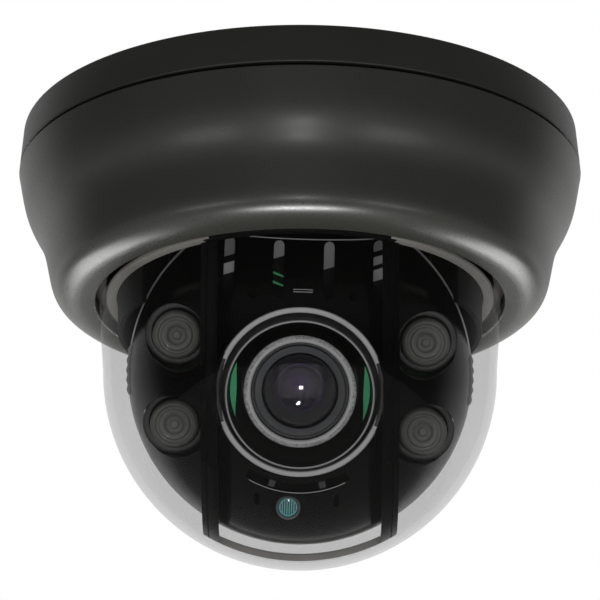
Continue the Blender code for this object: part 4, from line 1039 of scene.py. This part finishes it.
def make_camera():
    sizes = bpy.context.scene.dome_camera_sizes
    data = bpy.data.cameras.new("camera")
    data.sensor_width = 36.0
    data.lens = sizes.camera_lens
    data.clip_start = 0.05
    data.clip_end = 20.0
    camera = bpy.data.objects.new("camera", data)
    bpy.context.scene.collection.objects.link(camera)
    tilt = sizes.camera_elevation
    target = Vector((0, 0, sizes.camera_height))
    camera.location = target + Vector((0, -cos(tilt), -sin(tilt))) * sizes.camera_distance
    aim(camera, target)
    bpy.context.scene.camera = camera


def brightness(tree, height, stops):
    """A brightness for each height on the sky, from straight down at 0 to straight up at 1."""
    ramp = tree.nodes.new("ShaderNodeValToRGB")
    tree.links.new(height, ramp.inputs["Fac"])
    first, *middle, last = stops
    for element, (position, level) in zip(ramp.color_ramp.elements, (first, last)):
        element.position = position
        element.color = (level, level, level, 1)
    for position, level in middle:
        ramp.color_ramp.elements.new(position).color = (level, level, level, 1)
    return ramp.outputs["Color"]


def between(tree, value, start, end):
    """0 at the start and 1 at the end of this range of the value."""
    node = tree.nodes.new("ShaderNodeMapRange")
    node.interpolation_type = "SMOOTHSTEP"
    node.inputs["From Min"].default_value = start
    node.inputs["From Max"].default_value = end
    tree.links.new(value, node.inputs["Value"])
    return node.outputs["Result"]


def make_world():
    """The camera sees white; reflections see a darker room, brighter behind the object than in front."""
    world = bpy.data.worlds.new("studio")
    bpy.context.scene.world = world
    world.use_nodes = True
    tree = world.node_tree
    background = tree.nodes["Background"]
    coordinates = tree.nodes.new("ShaderNodeTexCoord")
    split = tree.nodes.new("ShaderNodeSeparateXYZ")
    tree.links.new(coordinates.outputs["Generated"], split.inputs["Vector"])
    height = between(tree, split.outputs["Z"], -1.0, 1.0)
    front = brightness(
        tree, height, ((0.0, 0.5), (0.12, 0.25), (0.3, 0.07), (0.5, 0.04), (0.75, 0.10), (1.0, 0.25)),
    )
    back = brightness(tree, height, ((0.0, 0.5), (0.3, 0.5), (0.5, 0.85), (0.65, 0.6), (1.0, 0.35)))
    room = blend_colours(tree, between(tree, split.outputs["Y"], 0.2, 0.7), front, back)
    path = tree.nodes.new("ShaderNodeLightPath")
    choice = blend_colours(tree, path.outputs["Is Camera Ray"], room, (1.0, 1.0, 1.0))
    tree.links.new(choice, background.inputs["Color"])
    background.inputs["Strength"].default_value = 1.0


def make_lights():
    """All but the smallest light reach either the housing or the small details, and nothing else."""
    middle = (0, 0, -0.05)
    housing = piece_group("painted_housing", HOUSING_PIECES)
    details = piece_group("details", HOUSING_PIECES + DARK_PIECES, leave_out=True)
    for side in (-1, 1):
        soft_box("side_box", (side * 0.42, 0.68, -0.62), middle, 0.46, 0.34, 6.5, housing)
        soft_box("front_side", (side * 0.60, -0.66, -0.62), middle, 0.44, 0.12, 3.5, housing)
    soft_box("front_lamp", (0.01, -0.90, -0.58), middle, 0.44, 0.10, 1.7, housing)
    soft_box("front_fill", (0, -1.00, -0.30), middle, 0.60, 1.10, 0.12, housing)
    soft_box("low_lamp", (0, -0.24, -1.04), middle, 0.34, 0.10, 75.0, housing)
    soft_box("detail_fill", (0, -1.00, -0.40), middle, 1.30, 1.00, 0.95, details)
    soft_box("star", (0.01, -0.92, -0.55), middle, 0.035, 0.035, 130.0)


def piece_group(name, names, leave_out=False):
    """The named pieces, or all the others, as the only ones that a light falls on."""
    group = bpy.data.collections.new(name)
    for obj in bpy.context.scene.objects:
        if obj.type == "MESH" and (obj.name in names) != leave_out:
            group.objects.link(obj)
    return group


def soft_box(name, place, target, width, height, level, receivers=None):
    """A rectangular light of this brightness, facing the target."""
    data = bpy.data.lights.new(name, "AREA")
    data.shape = "RECTANGLE"
    data.size = width
    data.size_y = height
    data.energy = level * pi * width * height
    lamp = bpy.data.objects.new(name, data)
    lamp.location = place
    bpy.context.scene.collection.objects.link(lamp)
    aim(lamp, target)
    if receivers:
        lamp.light_linking.receiver_collection = receivers


def make_floor():
    bm = bmesh.new()
    bmesh.ops.create_grid(bm, x_segments=1, y_segments=1, size=FLOOR_HALF)
    bmesh.ops.translate(bm, verts=bm.verts, vec=(0, 0, -FLOOR_DROP))
    mesh = bpy.data.meshes.new("floor")
    bm.to_mesh(mesh)
    bm.free()
    pale = surface("pale_floor", (0.85, 0.85, 0.84), 0.6, grain=40.0, mottle=6.0, vary=0.02, bump=0.02)
    mesh.materials.append(pale)
    floor = bpy.data.objects.new("floor", mesh)
    bpy.context.scene.collection.objects.link(floor)


# Add-on classes


def length(name, description, default):
    return bpy.props.FloatProperty(
        name=name, description=description, default=default, unit="LENGTH", precision=5,
    )


def angle(name, description, default):
    return bpy.props.FloatProperty(name=name, description=description, default=default, subtype="ANGLE")


def colour(name, description, default):
    return bpy.props.FloatVectorProperty(
        name=name, description=description, default=default, size=3, min=0.0, max=1.0, subtype="COLOR"
    )


class DomeCameraSizes(bpy.types.PropertyGroup):
    """Sizes that the fine pieces use beside those read from the model"""

    neck_radius: length("Neck radius", "Radius of the cover where its lip begins", 0.0640)
    lip_width: length("Lip width", "How far the rounding of the lip reaches inwards", 0.0080)
    lip_drop: length("Lip drop", "How far the rounding of the lip reaches down", 0.0067)
    cover_wall: length("Cover wall", "Thickness of the cover", 0.0025)
    base_draft: length("Base draft", "How much narrower the base is at the ceiling", 0.0009)
    spigot_radius: length("Spigot radius", "Outer radius of the wall that the cover slides over", 0.0674)
    slot_circle: length("Slot circle", "Distance of the screw slots from the middle", 0.0560)
    dome_wall: length("Dome wall", "Thickness of the clear dome", 0.0020)
    skirt_radius: length("Skirt radius", "Outer radius of the dome at the opening", 0.0516)
    liner_wall: length("Liner wall", "Thickness of the inner liner", 0.0015)
    liner_front: length("Liner front", "Height of the lower edge of the liner in front", -0.0360)
    liner_opening: angle("Liner opening", "Half of the liner's open front", radians(58))
    panel_half: length("Panel half width", "From the lens to each edge of the raised face panel", 0.0192)
    funnel_shift: length(
        "Funnel shift", "How far the inner ring round the lens sits below the outer one", 0.0010,
    )
    barrier_width: length("Barrier width", "Width of each rib of the light barrier", 0.0041)
    barrier_inner: length("Barrier inner radius", "Radius of the barrier's inner face", 0.0461)
    barrier_bend: length("Barrier bend", "How far behind the dome's axis the arms start to bend", 0.0120)
    lens_opening: length("Lens opening", "Radius of the hole for the lens", 0.0213)
    cup_radius: length("Lamp hole", "Radius of the hole for each lamp cup", 0.0081)
    lever_slot: length("Lever slot", "Radius of the arc slot for the levers", 0.0239)
    camera_lens: bpy.props.FloatProperty(
        name="Focal length", description="Camera focal length", default=246.6,
    )
    camera_distance: length("Camera distance", "From the camera to the object", 1.0516)
    camera_height: length("Aim height", "Height that the camera looks at", -0.04457)
    camera_elevation: angle("Camera angle", "How far below the object the camera stands", radians(20.98))


class DomeCameraColours(bpy.types.PropertyGroup):
    """Colours and gloss of the main finishes"""

    paint: colour("Paint", "Colour of the cover's paint", (0.036, 0.0365, 0.0315))
    paint_gloss: bpy.props.FloatProperty(
        name="Paint roughness", description="Roughness of the paint", default=0.30,
    )
    black: colour("Black plastic", "Colour of the black mouldings", (0.010, 0.010, 0.010))
    dome: colour("Dome colour", "Colour of the clear dome", (0.020, 0.018, 0.016))
    dome_tint: bpy.props.FloatProperty(
        name="Dome tint", description="How much light one wall takes away", default=0.28,
    )
    lamp: colour("Lamp lens", "Colour of the lamp lenses", (0.200, 0.202, 0.185))
    cell: colour("Light cell", "Colour of the light cell", (0.22, 0.85, 0.84))


OPERATORS = []


def operator(idname, label, doc, *makers):
    """An operator class that runs these makers."""

    def execute(self, context):
        for maker in makers:
            maker()
        return {"FINISHED"}

    name = "DOMECAM_OT_" + idname
    made = type(name, (bpy.types.Operator,), {
        "__doc__": doc, "bl_idname": "domecam." + idname, "bl_label": label, "execute": execute,
    })
    OPERATORS.append(made)
    return made


operator("cover", "Cover", "Build the bowl-shaped cover and its lock screw", make_cover, make_lock_screw)
operator("base", "Base", "Build the ceiling base", make_base)
operator("seals", "Seals", "Build the seam gasket, dome seal and cable grommet", make_seals)
operator("dome", "Dome", "Build the clear dome and its ring", make_dome, make_painted_rim_light, make_ring_fixings)
operator("liner", "Liner", "Build the inner liner", make_liner)
operator("barrier", "Light barrier", "Build the two ribs beside the lens", make_barrier)
operator("ball", "Ball", "Build the camera ball's face", make_shell, make_slot_labels, make_ball_rim)
operator("bezel", "Bezel", "Build the ring round the lens", make_bezel)
operator("lens", "Lens", "Build the lens barrel and its glass", make_barrel, make_glass)
operator("lamps", "Lamps", "Build the four infrared lamps", make_lamps)
operator("cell", "Light cell", "Build the light-sensitive cell", make_cell)
operator("finishes", "Finishes", "Give the remaining nodes their finishes", finish_cad_nodes)
operator(
    "stage", "Stage", "Build the floor, lights and camera", make_floor, make_world, make_lights,
    make_camera,
)


class DOMECAM_PT_panel(bpy.types.Panel):
    """Lists the builders"""

    bl_idname = "DOMECAM_PT_panel"
    bl_label = "Dome camera"
    bl_space_type = "VIEW_3D"
    bl_region_type = "UI"
    bl_category = "Dome camera"

    def draw(self, context):
        for made in OPERATORS:
            self.layout.operator(made.bl_idname)


CLASSES = (DomeCameraSizes, DomeCameraColours, *OPERATORS, DOMECAM_PT_panel)


def register():
    for made in CLASSES:
        bpy.utils.register_class(made)
    bpy.types.Scene.dome_camera_sizes = bpy.props.PointerProperty(type=DomeCameraSizes)
    bpy.types.Scene.dome_camera_colours = bpy.props.PointerProperty(type=DomeCameraColours)


def unregister():
    del bpy.types.Scene.dome_camera_colours
    del bpy.types.Scene.dome_camera_sizes
    for made in reversed(CLASSES):
        bpy.utils.unregister_class(made)


def main():
    register()
    bpy.context.scene.view_settings.view_transform = "Standard"
    for made in OPERATORS:
        run = getattr(bpy.ops.domecam, made.bl_idname.split(".")[1])
        run()


if __name__ == "__main__":
    main()
